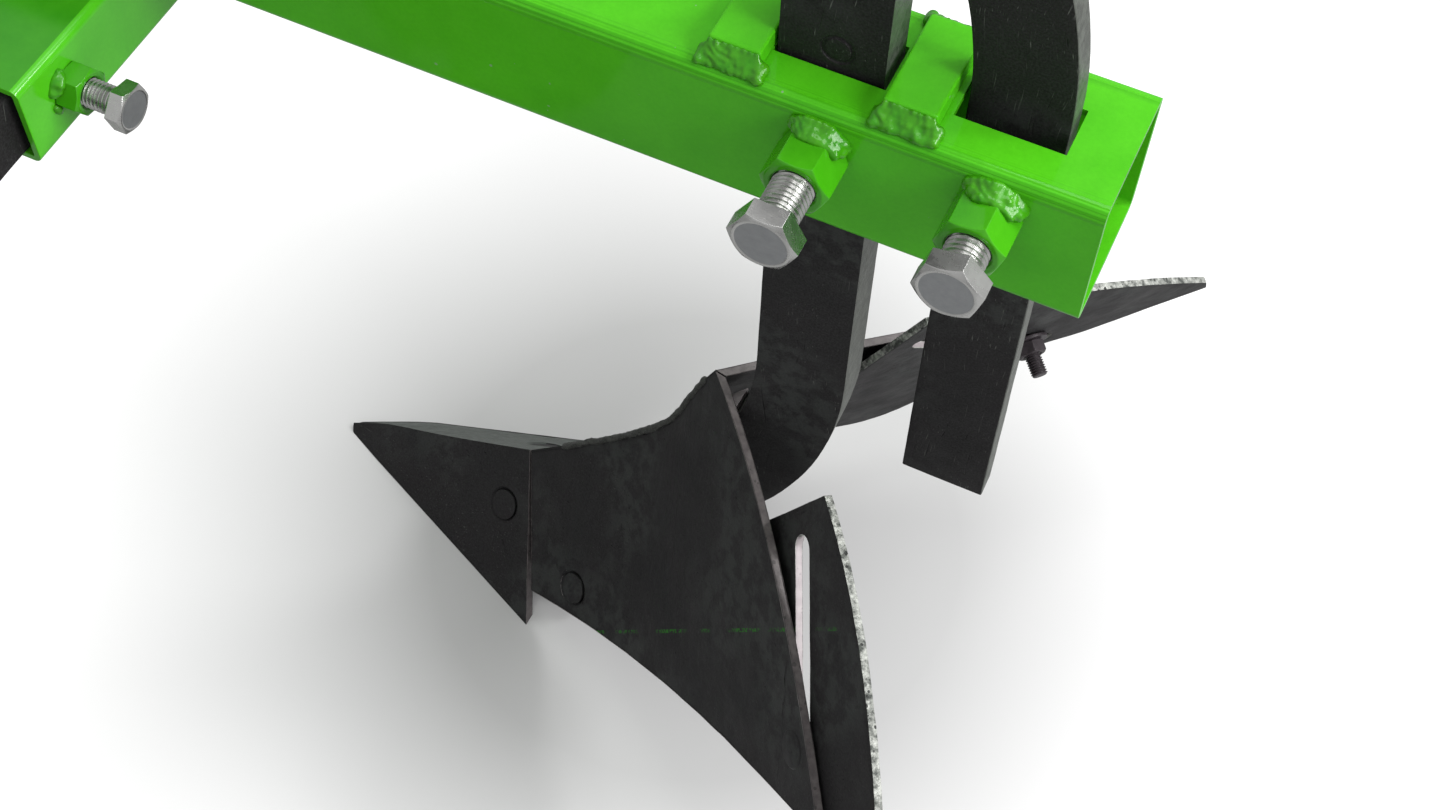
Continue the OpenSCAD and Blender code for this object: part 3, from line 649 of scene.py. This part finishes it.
def mark_bar_edges(piece):
    """Gives the narrow long faces of a bar their second material."""
    for polygon in piece.data.polygons:
        if abs(polygon.normal.y) < 0.3 and polygon.area > 50 * MM * MM:
            polygon.material_index = 1


def mark_shaded_top(piece):
    """Gives the level upper faces their second material, a darker green that paints the shade of the beam on
    them.
    """
    for polygon in piece.data.polygons:
        if polygon.normal.z > 0.98 and polygon.center.z > cross_high[2] - 0.5 * MM:
            polygon.material_index = 1


def mark_cut_ends(piece):
    """Gives the faces across a tube their second material."""
    for polygon in piece.data.polygons:
        if abs(polygon.normal.x) > 0.9 and polygon.center.z < beam_high[2] - 0.01 * MM:
            polygon.material_index = 1


def shape_share(piece):
    """Draws the far cutting edge out a little, as forged, and gives the far face its second material: a paler
    grey-green that paints the sheen seen on it at a grazing angle.
    """
    refine(piece, 14 * MM)
    drawn_out = 6 * MM
    far = share_high[1]
    for vertex in piece.data.vertices:
        place = vertex.co
        length = (place.x - share_low[0]) / (share_high[0] - share_low[0])
        away = place.y / (far * max(length, 0.05))
        place.y += drawn_out * min(1.0, max(0.0, away)) * min(1.0, 4 * length) * (1 - length)
    for polygon in piece.data.polygons:
        # The far face gets the painted sheen, and the rear edge the sheared edge
        if polygon.normal.y > 0.25:
            polygon.material_index = 1
        elif polygon.normal.x > 0.6:
            polygon.material_index = 2


def shape_shank(piece):
    mark_bar_edges(piece)
    stamp_ring(piece)


def make_frame_pieces():
    dressed("main_beam", "frame", "green_paint", [PAINT_BEAM, PAINT_RIM], 0.5, shape=mark_cut_ends)
    dressed("crossbar", "frame", "green_paint", [PAINT_BAR, PAINT_BAR_TOP_SHADED], 0.5, shape=mark_shaded_top)
    dressed("hitch_lugs", "frame", "green_paint", [PAINT], 1.0)
    for node, shift in (("front_pad", 0.3), ("rear_pad", 0.7)):
        dressed(node, "frame", "green_paint", [PAINT], 1.0, 3, longest=1.6, dents=(0.2, 14, shift))


def make_body_pieces():
    dressed("ridger_shank", "ridger", "black_steel", [BLACK_BAR, SCRAPED_EDGE], 0.9, 3, longest=6,
            dents=(0.4, 22, 0.1), shape=shape_shank)
    dressed("body_frog", "ridger", "black_steel", [BLACK], 0.8)
    dressed("apex_gusset", "ridger", "black_steel", [SLOT_WALL], 0.6)
    dressed("share", "ridger", "black_steel", [BLACK, SHARE_FAR_SHEEN, SHEARED_EDGE], 1.8, 3, longest=5,
            dents=(0.5, 15, 0.2), shape=shape_share)
    for side, _ in SIDES:
        dressed(side + "_mouldboard", "ridger", "black_steel", [BLACK_PLATE, SHEARED_EDGE, SHEARED_EDGE], 0.6,
                longest=6, dents=(0.6, 18, 0.4), rim=4)
        dressed(side + "_wing", side + "_wing", "black_steel", [BLACK_PLATE, BURNT_EDGE, SLOT_WALL], 0.6,
                longest=6, dents=(0.5, 16, 0.5), rim=4)
        dressed(side + "_wing_washer", side + "_wing_clamp", "dark_steel", [DARK_BOLT], 0.3)
    dressed("share_nuts", "ridger", "dark_steel", [DARK_BOLT], 0.4)
    # The rounded rims of the bolts' heads get the painted shade of the gap round them
    dressed("share_bolts", "ridger", "dark_steel", [BLACK, PAINTED_GAP_SHADE], 1.5, 1, rim_finish=1)
    dressed("ridge_weld", "ridger", "black_steel", [GROUND_WELD], 0.3, 1, longest=1.6, dents=(1.6, 5, 0.8))
    dressed("depth_stake", "depth_stake", "black_steel", [BLACK_BAR, SCRAPED_EDGE], 0.9, 3, longest=6,
            dents=(0.4, 22, 0.6), shape=mark_bar_edges)


def make_wheel_pieces():
    for side, _ in SIDES:
        arm = side + "_arm"
        dressed(arm, arm, "black_steel", [BLACK_BAR], 1.4, 3)
        dressed(side + "_wheel_washers", arm, "zinc", [ZINC], 0.4)
        wheel = side + "_wheel"
        dressed(side + "_rim", wheel, "grey_paint", [WHEEL_PAINT], 1.0, 3)
        dressed(side + "_bush", wheel, "bronze", [BRONZE], 0.5)


# Turned and threaded pieces
def profile_line(name, points):
    """Open line of edges through the points (radius, height), in the XZ plane."""
    deselect()
    bpy.ops.mesh.primitive_plane_add(size=MM)
    piece = bpy.context.object
    piece.name = name
    open_mesh(piece)
    bpy.ops.mesh.merge(type="CENTER")
    here = Vector((points[0][0], 0, points[0][1]))
    bpy.ops.transform.translate(value=here)
    for radius, height in points[1:]:
        there = Vector((radius, 0, height))
        bpy.ops.mesh.extrude_region_move(TRANSFORM_OT_translate={"value": there - here})
        here = there
    close_mesh()
    return piece


def place_along(piece, start, direction, turn=0.0):
    """Moves a piece made along +Z from the origin so that it runs from start along direction."""
    quaternion = direction.to_track_quat("Z", "Y")
    spin = Matrix.Rotation(turn, 4, "Z")
    piece.matrix_world = Matrix.Translation(start) @ quaternion.to_matrix().to_4x4() @ spin
    settle(piece)


def turned(name, points, steps=64):
    """Solid of revolution about Z of a line of (radius, height)."""
    piece = profile_line(name, points)
    open_mesh(piece)
    bpy.ops.mesh.spin(steps=steps, angle=tau, center=(0, 0, 0), axis=(0, 0, 1))
    bpy.ops.mesh.select_all(action="SELECT")
    bpy.ops.mesh.remove_doubles(threshold=MERGE)
    bpy.ops.mesh.normals_make_consistent(inside=False)
    close_mesh()
    return piece


def cut_with(piece, tool, operation):
    """Cuts the piece with a tool, and puts the tool away."""
    finish_modifier(piece, "BOOLEAN", object=tool, operation=operation, solver="EXACT")
    bpy.data.objects.remove(tool)


def thread(name, radius, pitch, length, depth):
    """Right-hand thread about Z, from 0 to the length, closed and chamfered at both ends.

    It starts 1.37 turns below 0 and is cut with a blank of another number of sides, so that no edges meet."""
    root = radius - depth
    flat = pitch * 0.12
    sides = 36
    points = [(root, 0), (root, flat), (radius, pitch / 2 - flat / 2), (radius, pitch / 2 + flat / 2),
              (root, pitch - flat * 0.5), (root, pitch)]
    piece = profile_line(name, points)
    finish_modifier(piece, "SCREW", screw_offset=pitch, iterations=round(length / pitch) + 3, steps=sides,
                    render_steps=sides, axis="Z", use_merge_vertices=True, merge_threshold=MERGE)
    open_mesh(piece)
    bpy.ops.mesh.remove_doubles(threshold=MERGE)
    for lower_end in (True, False):
        bpy.ops.mesh.select_all(action="DESELECT")
        bpy.ops.mesh.select_non_manifold()
        cage = bmesh.from_edit_mesh(piece.data)
        for vert in cage.verts:
            vert.select_set(vert.select and (vert.co.z < length / 2 or not lower_end))
        cage.select_flush_mode()
        bpy.ops.mesh.extrude_edges_move()
        bpy.ops.mesh.merge(type="CENTER")
    bpy.ops.mesh.select_all(action="SELECT")
    bpy.ops.mesh.normals_make_consistent(inside=False)
    bpy.ops.transform.translate(value=(0, 0, -1.37 * pitch))
    close_mesh()
    wide = radius + 0.2 * MM
    end = root - 0.05 * MM
    blank = turned("blank", [(0, 0), (end, 0), (wide, wide - end), (wide, length - wide + end), (end, length),
                             (0, length)], sides + 4)
    cut_with(piece, blank, "INTERSECT")
    return piece


def join(*pieces):
    """Joins pieces into the first one."""
    alone(pieces[0])
    for piece in pieces[1:]:
        piece.select_set(True)
    bpy.ops.object.join()
    return pieces[0]


def hexagon(name, flats, height, face=0.94, both_ends=False):
    """Hexagon from 0 to the height, its corners turned off to a round face at one end or at both.

    The blank has 94 sides, so that none of its edges meets a corner."""
    corner = flats / 2 / cos(pi / 6)
    deselect()
    bpy.ops.mesh.primitive_cylinder_add(vertices=6, radius=corner, depth=height, location=(0, 0, height / 2),
                                        rotation=(0, 0, pi / 6))
    piece = bpy.context.object
    piece.name = name
    settle(piece)
    round_face = flats / 2 * face
    wide = corner * 1.2
    slope = 0.55
    drop = (wide - round_face) * slope
    tip = round_face - PAST / slope
    foot = [(0, -PAST), (tip, -PAST), (wide, drop)] if both_ends else [(0, -PAST), (wide, -PAST)]
    blank = turned("blank", foot + [(wide, height - drop), (tip, height + PAST), (0, height + PAST)], 94)
    cut_with(piece, blank, "INTERSECT")
    return piece


def sink_face(piece, height, radius, depth, material):
    """Insets the round face at the given height and sinks its middle."""
    open_mesh(piece, "DESELECT")
    bpy.ops.mesh.select_mode(type="FACE")
    cage = bmesh.from_edit_mesh(piece.data)
    for face in cage.faces:
        face.select = face.normal.z > 0.99 and abs(face.calc_center_median().z - height) < 0.05 * MM
    bmesh.update_edit_mesh(piece.data)
    bpy.ops.mesh.dissolve_faces()
    bpy.ops.mesh.inset(thickness=radius * 0.07, depth=0)
    bpy.ops.mesh.inset(thickness=depth * 1.5, depth=-depth)
    cage = bmesh.from_edit_mesh(piece.data)
    for face in cage.faces:
        if face.select:
            face.material_index = material
    bmesh.update_edit_mesh(piece.data)
    close_mesh()


def hex_turn(node, start, direction):
    """Angle of a corner of the node's hexagon about its axis."""
    place = direction.to_track_quat("Z", "Y").to_matrix()
    across, up = place.col[0], place.col[1]
    arms = [vertex.co - start for vertex in frame["nodes"][node].data.vertices]
    far_arm = max(arms, key=lambda arm: Vector((arm.dot(across), arm.dot(up))).length)
    return atan2(far_arm.dot(up), far_arm.dot(across))


def bore(piece, radius, height):
    """Drills a hole along Z and breaks its edge."""
    edge = 0.8 * MM
    wide = radius + edge + PAST
    drill = turned("drill", [(0, -PAST), (wide, -PAST), (radius, edge), (radius, height - edge),
                             (wide, height + PAST), (0, height + PAST)], 48)
    cut_with(piece, drill, "DIFFERENCE")


def nut(node, body, slot, material, start, direction, screw, height, edge=0.3):
    """Nut for a screw that stands on start and runs along direction."""
    diameter, _, flats = screw
    play = 0.15 * MM
    piece = hexagon(node + "_turned", flats, height, both_ends=True)
    bore(piece, diameter / 2 + play, height)
    coat(piece, material)
    soften(piece, edge * MM, 2, 20)
    place_along(piece, start, direction, hex_turn(node, start, direction))
    smooth(piece, 18)
    finish_modifier(piece, "WEIGHTED_NORMAL", keep_sharp=True, weight=80)
    release(piece, body, slot, node)
    return piece


def clamp_bolt(node, start, direction, screw, neck, head_height, reach):
    """Bolt from its tip, reach behind start, out to its head, whose foot is a neck's length before start."""
    diameter, pitch, flats = screw
    head = hexagon(node + "_head", flats, head_height)
    coat(head, ZINC, HEAD_FACE, ZINC_THREAD)
    sink_face(head, head_height, flats / 2, 0.15 * MM, 1)
    soften(head, 0.25 * MM, 2, 20)
    turn = hex_turn(node, start, direction)
    place_along(head, start + direction * neck, direction, turn)
    shank = thread(node + "_thread", diameter / 2, pitch, neck + reach, pitch * THREAD_DEPTH)
    coat(shank, ZINC_THREAD)
    place_along(shank, start - direction * reach, direction)
    smooth(head, 18)
    smooth(shank, 40)
    piece = join(head, shank)
    finish_modifier(piece, "WEIGHTED_NORMAL", keep_sharp=True, weight=60)
    release(piece, node, "zinc", node)
    return piece


def make_clamp_bolts():
    for name in ("shank", "stake"):
        node = name + "_clamp_bolt"
        low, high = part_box(node)
        start = Vector((middle(node).x, beam_near, middle(node).z))
        head_height = 8.8 * MM
        nut_height = beam_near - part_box(name + "_nut")[0][1]
        clamp_bolt(node, start, -Y, BIG_SCREW, beam_near - low[1] - head_height, head_height,
                   high[1] - beam_near)
        nut(name + "_nut", "frame", "green_paint", PAINT_NUT, start, -Y, BIG_SCREW, nut_height, 0.8)
    for side, _ in SIDES:
        node = side + "_arm_clamp_bolt"
        low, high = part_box(node)
        start = Vector((cross_rear, middle(node).y, middle(node).z))
        head_height = 6.6 * MM
        nut_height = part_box(side + "_arm_nut")[1][0] - cross_rear
        clamp_bolt(node, start, X, SMALL_SCREW, high[0] - cross_rear - head_height, head_height,
                   cross_rear - low[0])
        nut(side + "_arm_nut", "frame", "green_paint", PAINT_NUT, start, X, SMALL_SCREW, nut_height, 0.7)


def span_along(node, axis):
    """Lowest and highest place of a node's mesh along an axis."""
    places = [vertex.co.dot(axis) for vertex in frame["nodes"][node].data.vertices]
    return min(places), max(places)


def make_wing_bolts():
    for joint in frame["joints"]:
        if not joint["name"].endswith("_wing_tilt"):
            continue
        side = joint["name"].split("_")[0]
        outward = Vector(joint["axis"]).normalized()
        foot = Vector(joint["pos_m"])
        low, high = span_along(side + "_wing_bolt", outward)
        sunk = 0.7 * MM
        tip = foot + outward * (low - foot.dot(outward))
        length = high - sunk - low
        sink = 4 * MM
        shank = thread(side + "_wing_thread", WING_SCREW[0] / 2, WING_SCREW[1], length - sink, 0.7 * MM)
        head = turned(side + "_wing_head", [(0, length - 2 * sink), (3.9 * MM, length - 2 * sink),
                                            (3.9 * MM, length - sink), (9.0 * MM, length - 0.9 * MM),
                                            (8.0 * MM, length - 0.1 * MM), (0, length - 0.1 * MM)])
        coat(head, BLACK, PAINTED_GAP_SHADE)
        # The slanted rim of the head gets the painted shade of the gap round it
        for polygon in head.data.polygons:
            if 0.05 < polygon.normal.z < 0.98 and polygon.center.z > length - MM:
                polygon.material_index = 1
        coat(shank, DARK_BOLT)
        piece = join(head, shank)
        place_along(piece, tip, outward)
        smooth(piece, 40)
        release(piece, "ridger", "dark_steel", side + "_wing_bolt")
        low, high = span_along(side + "_wing_nut", outward)
        top = foot + outward * (high - foot.dot(outward))
        nut(side + "_wing_nut", side + "_wing_clamp", "dark_steel", DARK_BOLT, top, -outward, WING_SCREW,
            high - low)


# Weld beads
# Rows of drops along a pad: out from the beam's corner, up from its top, drop radius, and how far the row
# stops short of the pad's ends, all in millimetres
PAD_ROWS = ((0.0, 6.2, 1.3, 1.2), (1.0, 4.0, 2.0, 0.6), (2.6, 2.0, 2.2, -0.4), (4.6, 0.2, 2.0, -1.4))
# Rows around a nut: out from the face, row radius and drop radius in millimetres, arc's ends in degrees
NUT_ROWS = ((0.6, 13.2, 2.7, 32, 128), (3.2, 12.8, 2.4, 34, 118), (5.8, 12.2, 1.9, 44, 108),
            (1.0, 15.2, 1.6, 70, 124))
ARM_NUT_ROWS = ((0.6, 10.6, 2.4, 112, 152), (2.6, 10.2, 1.8, 116, 148), (0.4, 10.8, 1.9, 196, 214))


def weld_bead(runs, seed):
    """Overlapping drops along runs of (points, drop radius, step), melted into one another."""
    drops = []
    count = 0
    for points, radius, step in runs:
        for first, last in zip(points, points[1:]):
            first, last = Vector(first), Vector(last)
            steps = max(1, round((last - first).length / step))
            for i in range(steps + 1):
                wobble = noise.noise_vector(Vector((seed + count * 0.9, seed * 2.3, 0.7 * count)))
                deselect()
                place = first.lerp(last, i / steps) + wobble * radius * 0.22
                bpy.ops.mesh.primitive_uv_sphere_add(segments=14, ring_count=8, location=place,
                                                     radius=radius * (1 + 0.3 * wobble.x))
                drops.append(bpy.context.object)
                count += 1
    bead = join(*drops)
    settle(bead)
    finish_modifier(bead, "REMESH", mode="VOXEL", voxel_size=0.6 * MM)
    finish_modifier(bead, "SMOOTH", factor=0.5, iterations=3)
    alone(bead)
    bpy.ops.object.shade_smooth()
    return bead


def release_beads(name, beads, node):
    piece = join(*beads)
    piece.name = name
    coat(piece, PAINT_WELD)
    release(piece, "frame", "green_paint", node)


def make_pad_welds():
    beads = []
    for k, node in enumerate(("front_pad", "rear_pad")):
        low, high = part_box(node)
        for side in (-1, 1):
            edge = low[1] if side < 0 else high[1]
            rows = []
            for out, up, radius, short in PAD_ROWS:
                y = edge + side * out * MM
                z = beam_top + up * MM
                ends = [(low[0] + short * MM, y, z), (high[0] - short * MM, y, z)]
                rows.append((ends, radius * MM, 2.4 * MM))
            for x in (low[0] - 0.8 * MM, high[0] + 1.2 * MM):
                ends = [(x, edge + side * 1.0 * MM, beam_top + 2.2 * MM),
                        (x, edge + side * 5.0 * MM, beam_top + 0.6 * MM)]
                rows.append((ends, 2.2 * MM, 2.2 * MM))
            beads.append(weld_bead(rows, 3.1 + 5 * k + side))
    release_beads("pad_weld_beads", beads, "pad_welds")


def make_crossbar_welds():
    low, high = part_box("crossbar")
    beads = []
    for side in (-1, 1):
        y = side * (abs(beam_near) - 0.5 * MM)
        z = beam_low[2] + 1.0 * MM
        run = [(low[0] + 5 * MM, y, z), (high[0] - 5 * MM, y, z)]
        beads.append(weld_bead([(run, 3.2 * MM, 3.0 * MM)], 11.0 + side))
    release_beads("crossbar_weld_beads", beads, "crossbar_welds")


def arc(centre, across, up, radius, start, end):
    """Points of an arc about a centre, one every 9 degrees or so."""
    count = max(2, round(abs(end - start) / 9) + 1)
    angles = [radians(start + (end - start) * i / (count - 1)) for i in range(count)]
    return [Vector(centre) + across * radius * cos(a) + up * radius * sin(a) for a in angles]


def make_nut_welds():
    beads = []
    for k, node in enumerate(("shank_nut", "stake_nut")):
        foot = middle(node)
        runs = []
        for out, radius, drop, start, end in NUT_ROWS:
            foot.y = beam_near - out * MM
            runs.append((arc(foot, X, Z, radius * MM, start, end), drop * MM, 2.3 * MM))
        beads.append(weld_bead(runs, 21.0 + 4 * k))
    for k, (side, sign) in enumerate(SIDES):
        foot = middle(side + "_arm_nut")
        runs = []
        for out, radius, drop, start, end in ARM_NUT_ROWS:
            foot.x = cross_rear + out * MM
            runs.append((arc(foot, Y * -sign, Z, radius * MM, start, end), drop * MM, 2.0 * MM))
        beads.append(weld_bead(runs, 31.0 + 4 * k))
    release_beads("nut_weld_beads", beads, "nut_welds")


# Wheels
def wheel_frame(side):
    """Centre of a wheel and the direction of its axle, outwards."""
    return middle(side + "_tyre"), Y * dict(SIDES)[side]


def make_tyres():
    for side, _ in SIDES:
        centre, outward = wheel_frame(side)
        low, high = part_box(side + "_tyre")
        outer = (high[2] - low[2]) / 2
        half = (high[1] - low[1]) / 2
        inner = outer - 22 * MM
        rib, groove, depth = 6 * MM, 4 * MM, 3.5 * MM
        crown, slant = 0.5 * MM, 0.6 * MM
        wall, shoulder = outer - 9 * MM, outer - 4 * MM
        points = [(inner, -half + MM), (inner + 2 * MM, -half), (wall, -half), (shoulder, -half + 2 * MM)]
        y = -half + 6 * MM
        while y + rib < half - 5 * MM:
            end = y + rib
            points += [(outer - crown, y), (outer, y + MM), (outer, end - MM), (outer - crown, end),
                       (outer - depth, end + slant), (outer - depth, end + groove - slant)]
            y += rib + groove
        points = points[:-2]
        points += [(shoulder, half - 2 * MM), (wall, half), (inner + 2 * MM, half), (inner, half - MM),
                   (inner, -half + MM)]
        piece = turned(side + "_tyre_ribbed", points, 96)
        coat(piece, RUBBER)
        place_along(piece, centre, outward)
        soften(piece, 0.4 * MM, 2, 25)
        smooth(piece, 35)
        release(piece, side + "_wheel", "tyre", side + "_tyre")


def make_axles():
    diameter, pitch, flats = BIG_SCREW
    head_height = 10 * MM
    for side, _ in SIDES:
        centre, outward = wheel_frame(side)
        body = side + "_arm"
        low, high = span_along(side + "_axle", outward)
        foot = centre - outward * centre.dot(outward)
        head = hexagon(side + "_axle_head", flats, head_height)
        sink_face(head, head_height, 11 * MM, 0.25 * MM, 0)
        soften(head, 0.25 * MM, 2, 25)
        turn = hex_turn(side + "_axle", foot, -outward)
        place_along(head, foot + outward * (low + head_height), -outward, turn)
        plain = span_along(side + "_end_nut", outward)[0] - 3 * MM
        smooth_length = plain - low - head_height
        rod = turned(side + "_axle_rod", [(0, 0), (diameter / 2, 0), (diameter / 2, smooth_length),
                                          (0, smooth_length)])
        place_along(rod, foot + outward * (low + head_height), outward)
        tail = thread(side + "_axle_thread", diameter / 2, pitch, high - plain, pitch * THREAD_DEPTH)
        place_along(tail, foot + outward * plain, outward)
        piece = join(head, rod, tail)
        coat(piece, ZINC)
        smooth(piece, 40)
        release(piece, body, "zinc", side + "_axle")
        for name in ("_axle_nut", "_end_nut"):
            inner, outer = span_along(side + name, outward)
            nut(side + name, body, "zinc", ZINC, foot + outward * inner, outward, BIG_SCREW, outer - inner)


def make_split_pins():
    """Split pins, each with its eye above and its two legs bent apart below."""
    thick = 0.75 * MM
    eye_half = 1.6 * MM
    for side, _ in SIDES:
        low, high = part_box(side + "_split_pin")
        x, y = middle(side + "_split_pin").xy
        eye = high[2] - 2.9 * MM
        legs = []
        for lean in (-1, 1):
            points = [(x, y, high[2] - thick), (x + lean * eye_half, y, eye + 1.2 * MM),
                      (x + lean * eye_half, y, eye - 0.8 * MM), (x + lean * thick, y, eye - 2.6 * MM),
                      (x + lean * thick, y, low[2] + 3.5 * MM), (x + lean * 1.4 * MM, y, low[2] + thick)]
            legs.append(wire(side + "_split_pin_wire", points, thick))
        piece = join(*legs)
        coat(piece, ZINC)
        smooth(piece, 50)
        release(piece, side + "_arm", "zinc", side + "_split_pin")


def wire(name, points, radius):
    """Round wire through the points."""
    path = bpy.data.curves.new(name, "CURVE")
    path.dimensions = "3D"
    path.bevel_depth = radius
    path.bevel_resolution = 3
    path.use_fill_caps = True
    spline = path.splines.new("POLY")
    spline.points.add(len(points) - 1)
    for knot, point in zip(spline.points, points):
        knot.co = (*point, 1)
    piece = bpy.data.objects.new(name, path)
    bpy.context.scene.collection.objects.link(piece)
    alone(piece)
    bpy.ops.object.convert(target="MESH")
    return bpy.context.object


# Studio: soft lights (name, place, target, size, power), and where the floor's painted glow, seen by the
# camera only, rises from nothing near the body to full strength, so that the floor is white away from the
# body and darker only round it
BODY_CENTRE = (0.65, 0, -0.2)
LIGHTS = (("overhead", (0.95, 0.25, 1.3), BODY_CENTRE, 0.8, 7),
          ("behind", (2.0, -0.15, 0.8), BODY_CENTRE, 0.8, 20),
          ("glint", (1.86, 0.66, 1.1), (0.45, -0.1, -0.03), 0.3, 9))
WORLD_LIGHT = 0.62
FADE_CENTRE = (0.63, 0.03, ground)
FADE_START, FADE_END, FADE_GLOW = 0.14, 0.37, 0.6


def soft_light(name, place, target, size, power):
    data = bpy.data.lights.new(name, "AREA")
    data.shape = "DISK"
    data.size = size
    data.energy = power
    light = bpy.data.objects.new(name, data)
    light.location = place
    light.rotation_euler = (Vector(target) - Vector(place)).to_track_quat("-Z", "Y").to_euler()
    bpy.context.scene.collection.objects.link(light)


def make_floor():
    deselect()
    bpy.ops.mesh.primitive_plane_add(size=60, location=(0.5, 0, ground))
    floor = bpy.context.object
    floor.name = "floor"
    settle(floor)
    finish = Finish("pale floor with painted glow", srgb(172, 172, 172), 0.8)
    finish.shader.inputs["Specular IOR Level"].default_value = 0.1
    # For the camera only the floor is paler: painted light on the floor
    seen = add_node(finish.tree, "ShaderNodeLightPath").outputs["Is Camera Ray"]
    finish.tint(seen, srgb(200, 200, 200))
    # Painted glow for the camera only, growing with the distance from the body
    away = add_node(finish.tree, "ShaderNodeVectorMath", {0: finish.place, 1: FADE_CENTRE},
                    operation="DISTANCE")
    fade = finish.times(stretch(finish.tree, away.outputs["Value"], FADE_START, FADE_END), FADE_GLOW)
    finish.tree.links.new(finish.times(fade, seen), finish.shader.inputs["Emission Strength"])
    finish.shader.inputs["Emission Color"].default_value = (1, 1, 1, 1)
    coat(floor, finish.done())


def make_studio():
    make_floor()
    world = bpy.data.worlds.new("studio")
    world.use_nodes = True
    world.node_tree.nodes["Background"].inputs[0].default_value = (1, 1, 1, 1)
    world.node_tree.nodes["Background"].inputs[1].default_value = WORLD_LIGHT
    bpy.context.scene.world = world
    for light in LIGHTS:
        soft_light(*light)


make_frame_pieces()
make_body_pieces()
make_wheel_pieces()
make_clamp_bolts()
make_wing_bolts()
make_pad_welds()
make_crossbar_welds()
make_nut_welds()
make_tyres()
make_axles()
make_split_pins()
make_studio()

bpy.context.scene.view_settings.view_transform = "Standard"
